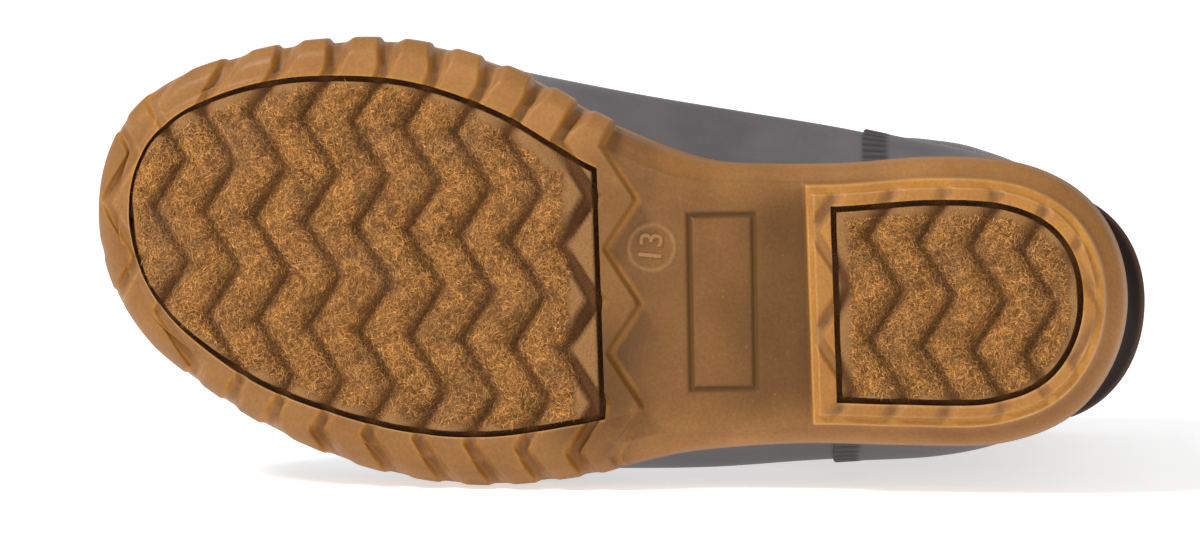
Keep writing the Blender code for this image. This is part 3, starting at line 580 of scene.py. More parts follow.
def gum_masks(x, y, inset, lug, block, ring, notch):
    """Where the gum is low, with painted shade; amber, a painted glow; pale at an edge, a painted highlight;
    or darkened by wear and by painted shade, each from 0 to 1.
    """
    distance, off = gum_distance(x, y)
    past, fore = x - SKEW * y, 1 - ease(116, 121, x)
    # Painted amber glow on the lug wall beside each groove, and along lug edges at the shank.
    amber = bell(off - 1.35, 0.75) + 0.55 * bell(off + HALF_GROOVE, 0.30)
    amber_shank = bell(distance + 0.5, 0.6) * (x > 100)
    shank = ease(105, 120, x) * (1 - lug) * (1 - block)
    # The shank darkens by wear and by painted shade, most towards the heel block where it is deepest; the
    # last lugs before it are darker too.
    darkened = shank * mix(0.62, 1.0, ease(125, 148, x)) * ease(-3, 13, inset) * (1 - ease(162, 172, x))
    darkened = darkened + 0.62 * ease(96, 108, x) * lug * ease(1, 13, inset)
    # Painted shade on the gum beside the heel block, stronger towards the lateral side; the forefoot lugs
    # are also darker towards the lateral side and the toe.
    by_block = (1 - ease(-0.5, 4.5, np.abs(inset - 3.0))) * (1 - block)
    darkened = darkened + mix(0.2, 0.5, ease(4, 20, y)) * by_block * ease(165, 178, x)
    darkened = darkened + 0.36 * fore * lug * np.clip(ease(2, 26, y) + 1 - ease(12, 34, x), 0, 1)
    # Painted highlight along the edges of the heel block and of its ring.
    corner = bell(inset - BLOCK_INSET - 0.25, 0.2) * step(past - BLOCK_FRONT, 0.8)
    corner = corner + bell(past - BLOCK_FRONT - 0.4, 0.22) * step(inset - BLOCK_INSET, 0.7)
    corner = corner + 0.8 * bell(inset - RING_INSET - 0.3, 0.2) * step(past - RING_FRONT, 0.7)
    corner = corner + 0.8 * bell(past - RING_FRONT - 0.35, 0.22) * step(inset - RING_INSET, 0.7)
    # Painted highlight on one edge of each lug only, as light from one side gives.
    pale_edge = 0.28 * bell(distance - 0.42, 0.22) * (off < 0) * fore * (distance < 2)
    ledge = np.maximum(amber * 0.62, amber_shank * 0.3) * fore + 0.85 * block * (1 - ring)
    # low: darker in the grooves and in the heel ring's notches, painted shade.
    return {"low": (1 - lug) * fore * 0.85 + 0.35 * notch * ring,
            "ledge": np.clip(ledge + 0.45 * ring * (1 - notch), 0, 1),
            "flash_and_highlight": np.clip(pale_edge + 0.5 * corner, 0, 1),
            "wear_and_shade": np.clip(darkened, 0, 1)}


sample = gum_bottom(np.array([60.0, 130, 170, 190]), np.array([38.0, 0, 28, 0]), np.array([5.0, 30, 5, 8]))
print("gum heights at a lug, the shank, the ledge and the ring, mm:", sample[0].round(2))

# %% [markdown]
# ## The sole's edge
#
# The cup sole's margin, shoulder, ribbed side wall and rim are one continuous moulding. Its section at
# each turn round the foot is a closed loop: out from the groove, round the shoulder, up the side, over
# the rim and back inside. Three sections are blended, between ribs, on a rib and at the heel, which
# gives ribs that melt into the wall as the real ones do.

# %% Turns evenly spaced along the outline
COLUMNS = 1240
fine = np.linspace(0, 2 * np.pi, 20001)
steps = np.linalg.norm(np.diff(sole_outline(fine), axis=0), axis=1)
fine_x = sole_outline(fine[1:])[:, 0]
# More columns where the ribs are and where the heel block begins.
density = 1 + 1.1 * (fine_x < 124) + 0.7 * ((fine_x > 148) & (fine_x < 160))
walked = np.concatenate([[0], np.cumsum(steps * density)])
edge_turns = np.interp(np.arange(COLUMNS) / COLUMNS * walked[-1], walked, fine)
outline_x = sole_outline(edge_turns)[:, 0]
print("outline length, mm:", round(steps.sum(), 1))


def fore_margin(turn):
    """Distance from the outline to the forefoot insert, wider on the lateral side."""
    x = sole_outline(turn)[..., 0]
    wider = (0.35 + 0.75 * ease(0, 0.5, np.sin(turn))) * ease(30, 60, x) + 0.9 * (1 - ease(4, 30, x))
    return 7.2 + 4.0 * np.minimum(1, x / FORE_REAR) + wider


def lip_inset(turn):
    """How far in from the outline the gum margin ends, at the outer side of the groove."""
    x = sole_outline(turn)[..., 0]
    groove = GROOVE_WIDTH * mix(0.6, 1.0, ease(5, 35, x))
    return mix(fore_margin(turn), INSERT_MARGIN, ease(118, 145, x)) - groove


# %% Sections from the groove to the rim
WALL_FOOT, RIB_TOP, RIB_FOOT, LIP_STEP = 7.5, 11.0, 6.4, 0.6


def shoulder(share):
    """Inset and height round the sole's shoulder, from its underside to the foot of its wall."""
    knots = [0, 0.42, 1]
    return smooth_between(knots, [5.0, 1.5, 0], share), smooth_between(knots, [0, 2.6, WALL_FOOT], share)


def edge_sections(turn):
    """Insets and heights, rows by columns, of the section between ribs, on a rib and at the heel."""
    x = sole_outline(turn)[:, 0]
    one = np.ones_like(x)
    lip, base, spring = lip_inset(turn), groove_floor(x), toe_spring(x)
    wall_top = rim_height(x) - LIP_STEP
    back = mix(0.30, 1.15, ease(-0.3, 0.35, -np.sin(turn))) * mix(0.15, 1.0, ease(3, 50, x))
    end = np.minimum(back, 0.99)
    flat = np.array([0, 0.003, 0.04, *np.linspace(0.12, 1, 15)])[:, None]
    heel_flat = np.array([0, 0.016, 0.8, 1.6, 2.3, 2.7, 2.9, 3.05, 3.2,
                          3.4, 3.8, 4.3, 4.6, 4.8, 4.95, 5.1, 5.25, 5.4])[:, None]
    rounding = np.linspace(0, 1, 25)[1:, None]
    wall = np.linspace(0, 1, 10)[1:, None]
    shoulder_in, shoulder_up = shoulder(rounding)
    rib_knots = [0, 0.35, 0.55, 0.75, 1]
    rib_in = smooth_between(rib_knots, [RIB_FOOT, 2.42, 0.5, 0.0, 0.0], rounding)
    rib_up = smooth_between(rib_knots, [0, 0.88, 3.63, 6.49, RIB_TOP], rounding)
    start = np.interp(4.0, shoulder_in[::-1, 0], rounding[::-1, 0])
    heel_in, heel_up = shoulder(start + (1 - start) * rounding)
    between = ([mix(lip, 5.0 + back, flat), shoulder_in + back, mix(back, end, wall)],
               [base + 0 * flat, base + shoulder_up, mix(base + WALL_FOOT, wall_top, wall)])
    on_rib = ([mix(lip, RIB_FOOT, flat), rib_in * one, mix(back, end, wall) * ease(0, 0.2, wall)],
              [spring + 0 * flat, spring + rib_up, mix(spring + RIB_TOP, wall_top, wall)])
    at_heel = ([lip - heel_flat * (lip - 4.0) / 5.4, heel_in * one, 0.6 * wall * one],
               [0 * heel_flat * one, base + heel_up, mix(base + WALL_FOOT, wall_top, wall)])
    return [[np.concatenate(rows) for rows in section] for section in (between, on_rib, at_heel)]


def from_outline(inset):
    """Places in plan at insets, rows by columns, as one array of x and one of y."""
    return np.moveaxis(sole_point(np.broadcast_to(edge_turns, inset.shape), inset), -1, 0)


between, on_rib, at_heel = edge_sections(edge_turns)
heel_share = ease(124, 142, outline_x)
flat_rows, side_rows = 18, len(between[0])
inset = mix(between[0], at_heel[0], heel_share)
for _ in range(2):
    x, y = from_outline(inset)
    rib_share = gum_lug(x, y, inset) * (1 - ease(112, 122, x))
    inset = mix(mix(between[0], on_rib[0], rib_share), at_heel[0], heel_share)
x, y = from_outline(inset)
z_flat, *forms = gum_bottom(x, y, inset)
height = mix(mix(between[1], on_rib[1], rib_share), at_heel[1], heel_share)
height[:flat_rows] = z_flat[:flat_rows]
settle = ease(0, 6, np.arange(side_rows - flat_rows))[:, None]
height[flat_rows:] = mix(np.maximum(height[flat_rows:], 0), height[flat_rows:], settle)
print("ribs round the edge:", int((np.diff((rib_share[40] > 0.5).astype(int)) == 1).sum()))

# %% [markdown]
# The section goes on over the rim, down the inside of the cup and back under the insert, where a recess
# wall rises to the groove. These rows are hardly seen, but they close the moulding.

# %% Rim, inside and groove wall
lip = lip_inset(edge_turns)
rim, inside = rim_height(outline_x), cup_floor(outline_x) - CLEARANCE
hidden_top = tread_floor(outline_x) + 2.4
rim_inset = inset[-1]
further = [(rim_inset + 0.12, rim - 0.2), (rim_inset + 0.55, rim - 0.03), (1.75, rim), (2.35, rim - 0.06),
           (2.7, rim - 0.5), (3.0, mix(rim, inside, 0.35)), (3.3, mix(rim, inside, 0.7)),
           (3.7, inside + 0.3), (4.4, inside), (lip + 2.8, inside),
           (lip + 3.0, mix(inside, hidden_top, 0.5)), (lip + 2.9, hidden_top), (lip + 1.5, hidden_top),
           (lip + 0.05, hidden_top - 0.05), (lip, mix(hidden_top, height[0], 0.5)), (lip, height[0] + 0.35)]
further = np.array([[np.broadcast_to(value, COLUMNS) for value in row] for row in further])
inset, height = np.concatenate([inset, further[:, 0]]), np.concatenate([height, further[:, 1]])
x, y = from_outline(inset)
edge_points = np.stack([x, y, height], -1)

past = x - SKEW * y
on_bed = ease(BED_START - 0.35, BED_START + 0.25, past) * (1 - ease(BED_END - 0.45, BED_END + 0.15, past))
by_insert = 1 - on_bed
forms = [np.pad(form, ((0, len(further)), (0, 0)), mode="edge") for form in forms]
edge_masks = gum_masks(x, y, inset, *forms)
side_fade = np.where(outline_x < 124, 1 - ease(9, 13, height - toe_spring(x)), 1)
for key in ("low", "ledge", "flash_and_highlight"):
    edge_masks[key] = edge_masks[key] * side_fade
lateral_edge, medial_edge = np.sin(edge_turns) > 0, np.sin(edge_turns) < 0
# At the groove's lip: a pale painted highlight on the lateral side and a painted amber glow on the medial
# side.
at_lip = bell(inset - lip, np.where(lateral_edge, 0.2, 0.4)) * by_insert
edge_masks["flash_and_highlight"] = np.clip(edge_masks["flash_and_highlight"] + 0.6 * at_lip * lateral_edge, 0, 1)
edge_masks["ledge"] = np.clip(edge_masks["ledge"] + 0.8 * at_lip * medial_edge, 0, 1)
# Rows inside the recess round the inserts are painted dark as painted shade, half as much at the lip.
edge_masks["groove"] = np.zeros_like(inset)
edge_masks["groove"][side_rows + 11:] = 0.9 * by_insert[side_rows + 11:]
edge_masks["groove"][-1] *= 0.5
laid_grid("sole_edge", edge_points, gum, ("outsole",), closed_rows=True, closed_columns=True,
          masks=edge_masks)

# %% [markdown]
# ## The shank and the heel's front
#
# Between the two inserts the sole is bare gum: the backs of the last lugs, a smooth shank with a shallow
# framed panel and a raised ring, and the heel block's front step. It is one sheet of the same height
# function, with its rows along the tread's slant so that straight lines stay straight.

# %% Places of the sheet
fine_turns = np.linspace(0, 2 * np.pi, 8001)[:-1]
lateral, medial = fine_turns < np.pi, fine_turns >= np.pi


def slanted(line):
    """How far towards the heel each point of a line is, along the tread's slant."""
    return line[:, 0] - SKEW * line[:, 1]


def across(line, past):
    """Ends on the medial and the lateral side of rows along the tread's slant."""
    ends = []
    for side in (medial, lateral):
        points = line[side][np.argsort(slanted(line[side]))]
        ends.append(np.stack([np.interp(past, slanted(points), points[:, k]) for k in (0, 1)], -1))
    return ends


bed_past = np.concatenate([[BED_START, BED_START + 0.02], np.linspace(BED_START + 0.25, BED_END - 0.25, 182),
                           [BED_END - 0.02, BED_END]])
near, far = across(sole_point(fine_turns, lip_inset(fine_turns)), bed_past)
v = np.concatenate([[0, 0.0004], np.linspace(0.004, 0.996, 176), [0.9996, 1]])[None, :, None]
x, y = np.moveaxis(mix(near[:, None], far[:, None], v), -1, 0)
print("shank sheet:", x.shape, "width at the shank, mm:", np.linalg.norm(far[90] - near[90]).round(1))

# %% The framed panel and the sheet's heights
FRAME_MIDDLE, FRAME_SIZE, FRAME_TURN = (134.9, 6.9), (13.6, 36.8), -0.105
SIZE_PLACE, SIZE_RING = (119.1, -3.3), 4.85


def frame_groove(x, y):
    """1 on the outline of the framed panel, from the place measured along its short and its long side."""
    c, s = np.cos(FRAME_TURN), np.sin(FRAME_TURN)
    dx, dy = x - FRAME_MIDDLE[0], y - FRAME_MIDDLE[1]
    short, long = np.abs(c * dx + s * dy), np.abs(-s * dx + c * dy)
    return bell(np.maximum(short - FRAME_SIZE[0] / 2, long - FRAME_SIZE[1] / 2), 0.60)


def boxed(points, masks, top):
    """Adds a border of places at the same outline but at a height inside the sole, to close a sheet."""
    padded = np.pad(points, ((1, 1), (1, 1), (0, 0)), mode="edge")
    border = np.ones(padded.shape[:2], bool)
    border[1:-1, 1:-1] = False
    padded[border, 2] = top(padded[border, 0])
    widened = {key: np.pad(mask, 1, mode="edge") for key, mask in masks.items()}
    # The hidden border is painted dark as well: painted shade.
    widened["groove"][border] = 1.0
    return padded, widened


from_outside = np.linalg.norm(far - near, axis=1)[:, None] * np.minimum(v, 1 - v)[..., 0]
from_outside = from_outside + INSERT_MARGIN - GROOVE_WIDTH
z, *forms = gum_bottom(x, y, np.full_like(x, 20.0))
bed_masks = gum_masks(x, y, from_outside, *forms)
frame_line = frame_groove(x, y)
ring_raise = bell(np.hypot(x - SIZE_PLACE[0], y - SIZE_PLACE[1]) - SIZE_RING, 0.46)
flow_line = bell(y + 13.0 + 0.35 * (x - 141), 0.5) * ease(139, 141, x) * (1 - ease(147, 150, x))
z = z + 0.70 * frame_line - 0.30 * ring_raise + 0.12 * flow_line
# The frame's shallow groove line is painted dark: painted shade.
bed_masks["groove"] = np.clip(frame_line * 1.6, 0, 1)
# The raised ring is made paler: painted highlight on its crown.
bed_masks["flash_and_highlight"] = np.clip(bed_masks["flash_and_highlight"] + 0.24 * ring_raise, 0, 1)
bed_points, bed_masks = boxed(np.stack([x, y, z], -1), bed_masks, lambda x: tread_floor(x) + 1.6)
laid_grid("sole_bed", bed_points, gum, masks=bed_masks)

# %% [markdown]
# ## The size number
#
# A size number is cut into the mould in reverse, so it stands up from the sole. Blender's own text
# object gives the digits; they are made a mesh first and then laid on the shank, with their tops towards
# the toe and reading across the sole as the ring around them does.


# %% Raised digits
def raised_digits(text, middle, tall, proud):
    curve = bpy.data.curves.new("size_digits", "FONT")
    curve.body, curve.size, curve.align_x, curve.align_y = text, tall * 1.35, "CENTER", "CENTER"
    curve.extrude, curve.bevel_depth, curve.bevel_resolution = proud, 0.08, 1
    holder = bpy.data.objects.new("size_digits_text", curve)
    bpy.context.scene.collection.objects.link(holder)
    bpy.context.view_layer.update()
    mesh = bpy.data.meshes.new_from_object(holder.evaluated_get(bpy.context.evaluated_depsgraph_get()))
    bpy.data.objects.remove(holder)
    local = corner_places(mesh)
    x, y = middle[0] - local[:, 1], middle[1] - local[:, 0]
    move_corners(mesh, np.stack([x, y, tread_floor(x) - local[:, 2] + 0.05], -1))
    face_out(mesh, 1e-6)
    # The digits carry a little of the shank's painted shade, painted highlight, and wear with painted shade.
    for key, value in {"low": 0.1, "flash_and_highlight": 0.22, "groove": 0.0, "ledge": 0.0, "wear_and_shade": 0.25}.items():
        write_mask(mesh, key, np.full(len(mesh.vertices), value))
    return mesh


size_mark = piece_from_mesh("size_mark", raised_digits("13", SIZE_PLACE, 5.0, 0.26), gum, ())
print("size mark corners:", len(size_mark.data.vertices))

# %% [markdown]
# ## The tread inserts
#
# Each insert is a rubber plate faced with flock, which gives grip on ice. Its lugs are the same chevrons,
# softened by the fibre, and its margin is bare. The plate is a sheet of the tread's heights inside the
# groove, with its own masks for flock, bare gum and groove floor.


# %% Insert plates
PLATE_TOP = 5.3


def flock_material():
    material, tree = blank_material("flocked_rubber", Roughness=0.9, IOR=1.45)
    patches, grain, normal = grained(tree, 160, 2600, 0.9, 0.0006)
    # In the grooves the flock and the bare gum are a darker brown, and the groove round the plate darker
    # still: painted shade.
    flock = blended(tree, mask_of(tree, "low"), (0.34, 0.150, 0.038), (0.170, 0.068, 0.013))
    flock = tinted(tree, flock, ramp(tree, patches, 0.3, 0.7), (0.70, 0.68, 0.66), (1.15, 1.1, 1.05))
    bare = blended(tree, ramp(tree, grain, 0.4, 0.7), (0.26, 0.122, 0.036), (0.33, 0.160, 0.050))
    bare = blended(tree, mask_of(tree, "low"), bare, (0.125, 0.045, 0.009))
    colour = blended(tree, mask_of(tree, "bare"), flock, bare)
    colour = blended(tree, mask_of(tree, "groove"), colour, (0.16, 0.060, 0.010))
    return finished(material, colour, normal)


flocked = flock_material()


def insert_height(x, y, pattern):
    """Height and groove share of an insert's face: lugs with soft walls and rounded shoulders."""
    distance = lug_distance(x, y, pattern, INSERT_LUG)
    crisp = ease(102.4, 104.6, x - SKEW * (y - FORE[1])) * (1 - ease(110, 120, x))
    rise = ease(-1.9 + 1.5 * crisp, 1.1 - 0.7 * crisp, distance)
    crown = 1.0 * (1 - ease(-0.6, 3.6, distance)) * rise * (1 - crisp)
    return toe_spring(x) + LUG_DEPTH * 0.80 * (1 - rise) + crown, 1 - rise


def moved_out(loop, distance, reach=0.25):
    """A closed loop of places in plan, moved outwards; its direction is felt over a reach to both sides."""
    length = np.concatenate([[0], np.cumsum(np.linalg.norm(np.diff(loop, axis=0), axis=1))])
    around = length[-1] + np.linalg.norm(loop[0] - loop[-1])
    closed, at = np.vstack([loop, loop[:1]]), np.append(length, around)
    ahead, behind = np.mod(length + reach, around), np.mod(length - reach, around)
    along = np.stack([np.interp(ahead, at, closed[:, k]) - np.interp(behind, at, closed[:, k])
                      for k in (0, 1)], -1)
    outward = np.stack([-along[:, 1], along[:, 0]], -1)
    return loop + distance * outward / np.maximum(np.linalg.norm(along, axis=1, keepdims=True), 1e-9)


def with_groove(points, masks, reach=1.6):
    """Adds a wall down from a plate's edge and a floor that closes the groove round it."""
    for distance in (0.0, reach):
        points = np.pad(points, ((1, 1), (1, 1), (0, 0)), mode="edge")
        masks = {key: np.pad(mask, 1, mode="edge") for key, mask in masks.items()}
        rows, columns = points.shape[0] - 1, points.shape[1] - 1
        walk = [(0, k) for k in range(columns)] + [(k, columns) for k in range(rows)]
        walk += [(rows, k) for k in range(columns, 0, -1)] + [(k, 0) for k in range(rows, 0, -1)]
        walk = tuple(np.array(walk).T)
        points[walk + (slice(0, 2),)] = moved_out(points[walk][:, :2], distance)
        x = points[walk][:, 0]
        points[walk + (2,)] = toe_spring(x) + 2.9 + 1.0 * ease(90, 104, x) - 0.9 * ease(140, 150, x)
        # The groove's wall and floor round a plate are painted dark: painted shade.
        masks["groove"][walk] = 1.0
    return points, masks


def insert_plate(name, line, past, columns, pattern, bare_of):
    """A plate between two slanted lines inside an outline, as a closed sheet."""
    near, far = across(line, past)
    v = (1 - np.cos(np.linspace(0, np.pi, columns))) / 2 * 0.35 + np.linspace(0, 1, columns) * 0.65
    x, y = np.moveaxis(mix(near[:, None], far[:, None], v[None, :, None]), -1, 0)
    z, low = insert_height(x, y, pattern)
    from_side = np.minimum(v, 1 - v)[None, :] * np.linalg.norm(far - near, axis=1)[:, None]
    masks = {"low": low, "bare": bare_of(x, y, from_side, past[:, None] + 0 * x), "groove": np.zeros_like(x)}
    points, masks = with_groove(np.stack([x, y, z], -1), masks)
    points, masks = boxed(points, masks, lambda x: toe_spring(x) + PLATE_TOP)
    return laid_grid(name, points, flocked, (name.replace("_plate", "_tread"),), masks=masks)


fore_line = sole_point(fine_turns, fore_margin(fine_turns))
heel_line = sole_point(fine_turns, INSERT_MARGIN)
fore_nose, heel_back = slanted(fore_line).min(), slanted(heel_line).max()
fore_rows = fore_nose + 0.02 + (FORE_REAR - fore_nose - 0.02) * np.linspace(0, 1, 190) ** 1.15
heel_rows = HEEL_FRONT + (heel_back - HEEL_FRONT - 0.02) * (1 - (1 - np.linspace(0, 1, 100)) ** 1.15)
print("forefoot insert from", fore_nose.round(1), "to", FORE_REAR, "mm; heel insert to", heel_back.round(1))


def fore_bare(x, y, from_side, past):
    """Bare margin beside the flock, and the bare lug ends behind its zigzag rear edge."""
    wander = 0.35 * np.sin(x * 0.9) + 0.3 * np.sin(x * 2.3 + 1)
    medial_margin = np.interp(x, [8, 14, 22, 32, 45, 62, 80, 95, 107],
                              [0.8, 1.6, 2.5, 2.4, 1.1, 0.9, 2.3, 4.2, 5.0])
    lateral_margin = np.interp(x, [8, 20, 30, 50, 88, 95], [0.8, 0.6, 1.6, 2.1, 1.8, 0.5])
    lateral_margin = lateral_margin * (1 - 0.8 * insert_height(x, y, FORE)[1])
    margin = mix(medial_margin, lateral_margin, ease(-4, 4, y))
    side = 1 - ease(-0.5, 0.5, from_side - margin + wander)
    cut = 101.4 + 0.03 * y - 0.9 * zigzag(y, FORE[1] - PERIOD / 4) + 0.3 * np.sin(y * 2.1)
    return np.maximum(side, ease(-0.5, 0.7, past - cut))


def heel_bare(x, y, from_side, past):
    wander = 0.3 * np.sin(x * 1.1 + 2) + 0.25 * np.sin(y * 1.7)
    margin = mix(1.9, 1.0, ease(-4, 6, y)) + 1.5 * ease(198, 207, x) * ease(2, 9, y)
    side = 1 - ease(-0.45, 0.45, from_side - margin + wander)
    front = 1 - ease(-0.4, 0.4, past - HEEL_FRONT - 2.5 + 0.3 * np.sin(y * 1.3))
    rear = ease(-0.5, 0.5, past - (heel_back - 2.2 + 0.3 * np.sin(y * 0.9)))
    return np.maximum(np.maximum(side, front), rear)


insert_plate("forefoot_plate", fore_line, fore_rows, 120, FORE, fore_bare)
insert_plate("heel_plate", heel_line, heel_rows, 84, HEEL, heel_bare)

# %% [markdown]
# ## The fibres
#
# The flock is tens of thousands of short fibres, matted flat by walking. One tiny spindle of six faces is
# the pattern, copied with its own length, bend and direction each time, because a bump map alone shows no
# loose ends against the light. The random numbers have a fixed seed, so each run gives the same mat.


# %% Copies of a small shape, joined
def small_shape(make):
    """Corners and faces of a little mesh that an operator makes."""
    work = bmesh.new()
    make(work)
    bmesh.ops.triangulate(work, faces=work.faces[:])
    corners = np.array([vert.co for vert in work.verts])
    faces = np.array([[vert.index for vert in face.verts] for face in work.faces])
    work.free()
    return corners, faces


def joined_copies(name, copies, faces, shade):
    """One mesh of many copies: copies by corners by 3, in millimetres."""
    count, corners = copies.shape[:2]
    mesh = bpy.data.meshes.new(name)
    mesh.vertices.add(count * corners)
    move_corners(mesh, copies.reshape(-1, 3))
    index = (faces[None] + (np.arange(count) * corners)[:, None, None]).reshape(-1)
    mesh.loops.add(len(index))
    mesh.loops.foreach_set("vertex_index", index.astype(np.int32))
    mesh.polygons.add(len(index) // 3)
    mesh.polygons.foreach_set("loop_start", np.arange(0, len(index), 3, dtype=np.int32))
    mesh.update(calc_edges=True)
    mesh.polygons.foreach_set("use_smooth", np.ones(len(index) // 3, bool))
    write_mask(mesh, "shade", np.repeat(shade, corners))
    mesh.validate()
    print(f"{name}: {count} copies, {len(index) // 3} triangles")
    return mesh


spindle, spindle_faces = small_shape(
    lambda work: bmesh.ops.create_uvsphere(work, u_segments=3, v_segments=2, radius=1))
print("spindle corners and faces:", len(spindle), len(spindle_faces))


# %% The fibre material
def fibre_material():
    material, tree = blank_material("flock_fibre", Roughness=0.75, IOR=1.45, Sheen_Weight=0.08,
                                    Sheen_Roughness=0.4, Sheen_Tint=(0.95, 0.65, 0.35, 1))
    patches, _, normal = grained(tree, 90, 3000, 0.3, 0.0003)
    colour = blended(tree, mask_of(tree, "shade"), (0.16, 0.056, 0.008), (0.95, 0.475, 0.125))
    colour = blended(tree, ramp(tree, patches, 0.50, 1.1), colour, (0.40, 0.21, 0.11))
    return finished(material, colour, normal)


fibre = fibre_material()


# %% Growing a mat of fibres
def clump(x, y, size):
    """A smooth wandering value, about -1 to 1, whose patches are some size in millimetres across."""
    a = np.sin(x / size + 2.1 * np.sin(0.61 * y / size))
    a = a + np.sin(0.83 * y / size + 1.7 * np.sin(0.71 * x / size + 1.3))
    return 0.5 * a + 0.35 * np.sin(1.9 * (x + 0.6 * y) / size + 2.0 * np.sin(1.3 * (y - 0.4 * x) / size))


def unit(vectors):
    return vectors / np.linalg.norm(vectors, axis=-1, keepdims=True)


def mat_of_fibres(name, count, seed, box, line, pattern, bare_of):
    """Fibres over an insert's flocked face, lying in every direction and bent over the lugs."""
    chance = np.random.default_rng(seed)
    x, y = chance.uniform(box[0], box[1], count * 3), chance.uniform(box[2], box[3], count * 3)
    past = x - SKEW * y
    near, far = across(line, past)
    from_side = np.minimum(y - near[:, 1], far[:, 1] - y)
    low = insert_height(x, y, pattern)[1]
    bare = np.where(from_side > 0, bare_of(x, y, from_side, past), 1.0)
    keep = (bare < chance.uniform(0.1, 1.0, len(x))) & (from_side > 0.3)
    keep &= low < chance.uniform(0.35, 1.25, len(x))
    on_forefoot = (past < FORE_REAR - 0.2) & (past > fore_nose + 1.2)
    keep &= on_forefoot | (past > HEEL_FRONT + 0.3) & (past < heel_back - 1.2)
    x, y = x[keep][:count], y[keep][:count]
    count = len(x)
    z, low = insert_height(x, y, pattern)
    slope_x = (insert_height(x + 0.2, y, pattern)[0] - insert_height(x - 0.2, y, pattern)[0]) / 0.4
    slope_y = (insert_height(x, y + 0.2, pattern)[0] - insert_height(x, y - 0.2, pattern)[0]) / 0.4
    out = unit(np.stack([slope_x, slope_y, -np.ones(count)], -1))
    heading = clump(x, y, 0.9) * 3.0 + chance.normal(0, 1.1, count)
    along = np.stack([np.cos(heading), np.sin(heading), np.zeros(count)], -1)
    along = unit(along - out * (along * out).sum(1, keepdims=True))
    side = np.cross(out, along)
    reach, thick, lift = (chance.uniform(low_end, high_end, count)[:, None]
                          for low_end, high_end in ((0.6, 1.35), (0.06, 0.105), (0.05, 0.42)))
    curl, tilt = (chance.normal(0, spread, count)[:, None] for spread in (0.42, 0.18))
    base = np.stack([x, y, z], -1) + out * lift
    across_it, through_it, along_it = (spindle[None, :, k:k + 1] for k in range(3))
    places = base[:, None] + along_it * reach[:, None] * (along + tilt * out)[:, None]
    places = places + across_it * thick[:, None] * side[:, None] + through_it * thick[:, None] * out[:, None]
    places = places + along_it ** 2 * (curl[:, None] * side[:, None] - 0.25 * reach[:, None] * out[:, None])
    # Fibre tone: random and in clumps; fibres in the grooves are made darker as painted shade, and fibres
    # lifted off the plate are made lighter.
    shade = chance.beta(1.3, 1.3, count) + 0.14 * clump(x, y, 0.7) + 0.12 * clump(x + 40, y, 2.3)
    shade = np.clip(shade * (1 - 0.74 * low) + 0.25 * lift[:, 0] - 0.05, 0, 1)
    mesh = joined_copies(name, places, spindle_faces, shade)
    return piece_from_mesh(name, mesh, fibre, ())


FORE_BOX, HEEL_BOX = (6, 108, -34, 41), (155, 212, -21, 26)
for number in (1, 2):
    mat_of_fibres(f"forefoot_flock_{number}", 27000, 40 + number, FORE_BOX, fore_line, FORE, fore_bare)
mat_of_fibres("heel_flock", 17000, 43, HEEL_BOX, heel_line, HEEL, heel_bare)

# %% [markdown]
# ## Dark rubber and leather
#
# The shell is a satin rubber moulded over the foot, the kick lug is black rubber, and the leg is waxed
# leather. Rubber shows faint dust and a soft sheen; leather shows pebbled grain, darker in its hollows.
# Both patterns are three-dimensional, so they need no unwrapping and never stretch.


# %% Rubber finishes
def dark_rubber(name, colour, dust, roughness, shine=0.5):
    material, tree = blank_material(name, IOR=1.5, Specular_IOR_Level=shine)
    patches, grain, normal = grained(tree, 45, 1300, 0.25, 0.0003)
    dusty, dustier = tuple(c * 1.35 + dust for c in colour), tuple(c * 1.5 + 2 * dust for c in colour)
    tone = blended(tree, ramp(tree, patches, 0.35, 0.75), colour, dusty)
    tone = blended(tree, ramp(tree, grain, 0.66, 0.78), tone, dustier)
    # strip: the counter's ribbed strip is painted dark, painted shade, darkest in the hollows between its
    # ribs.
    tone = blended(tree, mask_of(tree, "strip"), tone, tuple(c * 0.28 for c in colour))
    tone = blended(tree, mask_of(tree, "brown"), tone, (0.070, 0.030, 0.016))
    return finished(material, tone, normal, (patches, roughness - 0.1, roughness + 0.14))


def leather_material(name, low, high, grain_scale=700, roughness=0.5):
    material, tree = blank_material(name, IOR=1.5, Coat_Weight=0.08, Coat_Roughness=0.35)
    place = add(tree, "TexCoord").outputs["Object"]
    pebble = add(tree, "TexVoronoi", {"Vector": place, "Scale": grain_scale, "Randomness": 1.0},
                 feature="SMOOTH_F1").outputs["Distance"]
    patches, _, normal = grained(tree, 30, 1600, 0.3, 0.0002)
    bump = add(tree, "Bump", {"Height": pebble, "Strength": 0.35, "Distance": 0.0004, "Normal": normal})
    colour = blended(tree, ramp(tree, patches, 0.3, 0.75), low, high)
    colour = blended(tree, ramp(tree, pebble, 0.55, 0.15), tuple(c * 0.55 for c in low), colour)
    return finished(material, colour, bump.outputs["Normal"], (patches, roughness - 0.08, roughness + 0.12))


shell_rubber = dark_rubber("shell_rubber", (0.085, 0.076, 0.078), 0.015, 0.48)
black_rubber = dark_rubber("kick_rubber", (0.011, 0.005, 0.004), 0.003, 0.46, 0.10)
leather = leather_material("waxed_leather", (0.085, 0.036, 0.018), (0.17, 0.078, 0.040))
dark_leather = leather_material("facing_leather", (0.060, 0.026, 0.014), (0.12, 0.056, 0.030), 800, 0.45)

# %% [markdown]
# ## The rubber shell
#
# The shell wraps the whole foot and ends in a feathered top edge under the leather. Its vamp has bent at
# each step, which leaves soft creases across it behind the toes. The creases are given one by one as soft
# troughs and ridges on the skin, because a real crease follows the ball of the foot and no noise does.

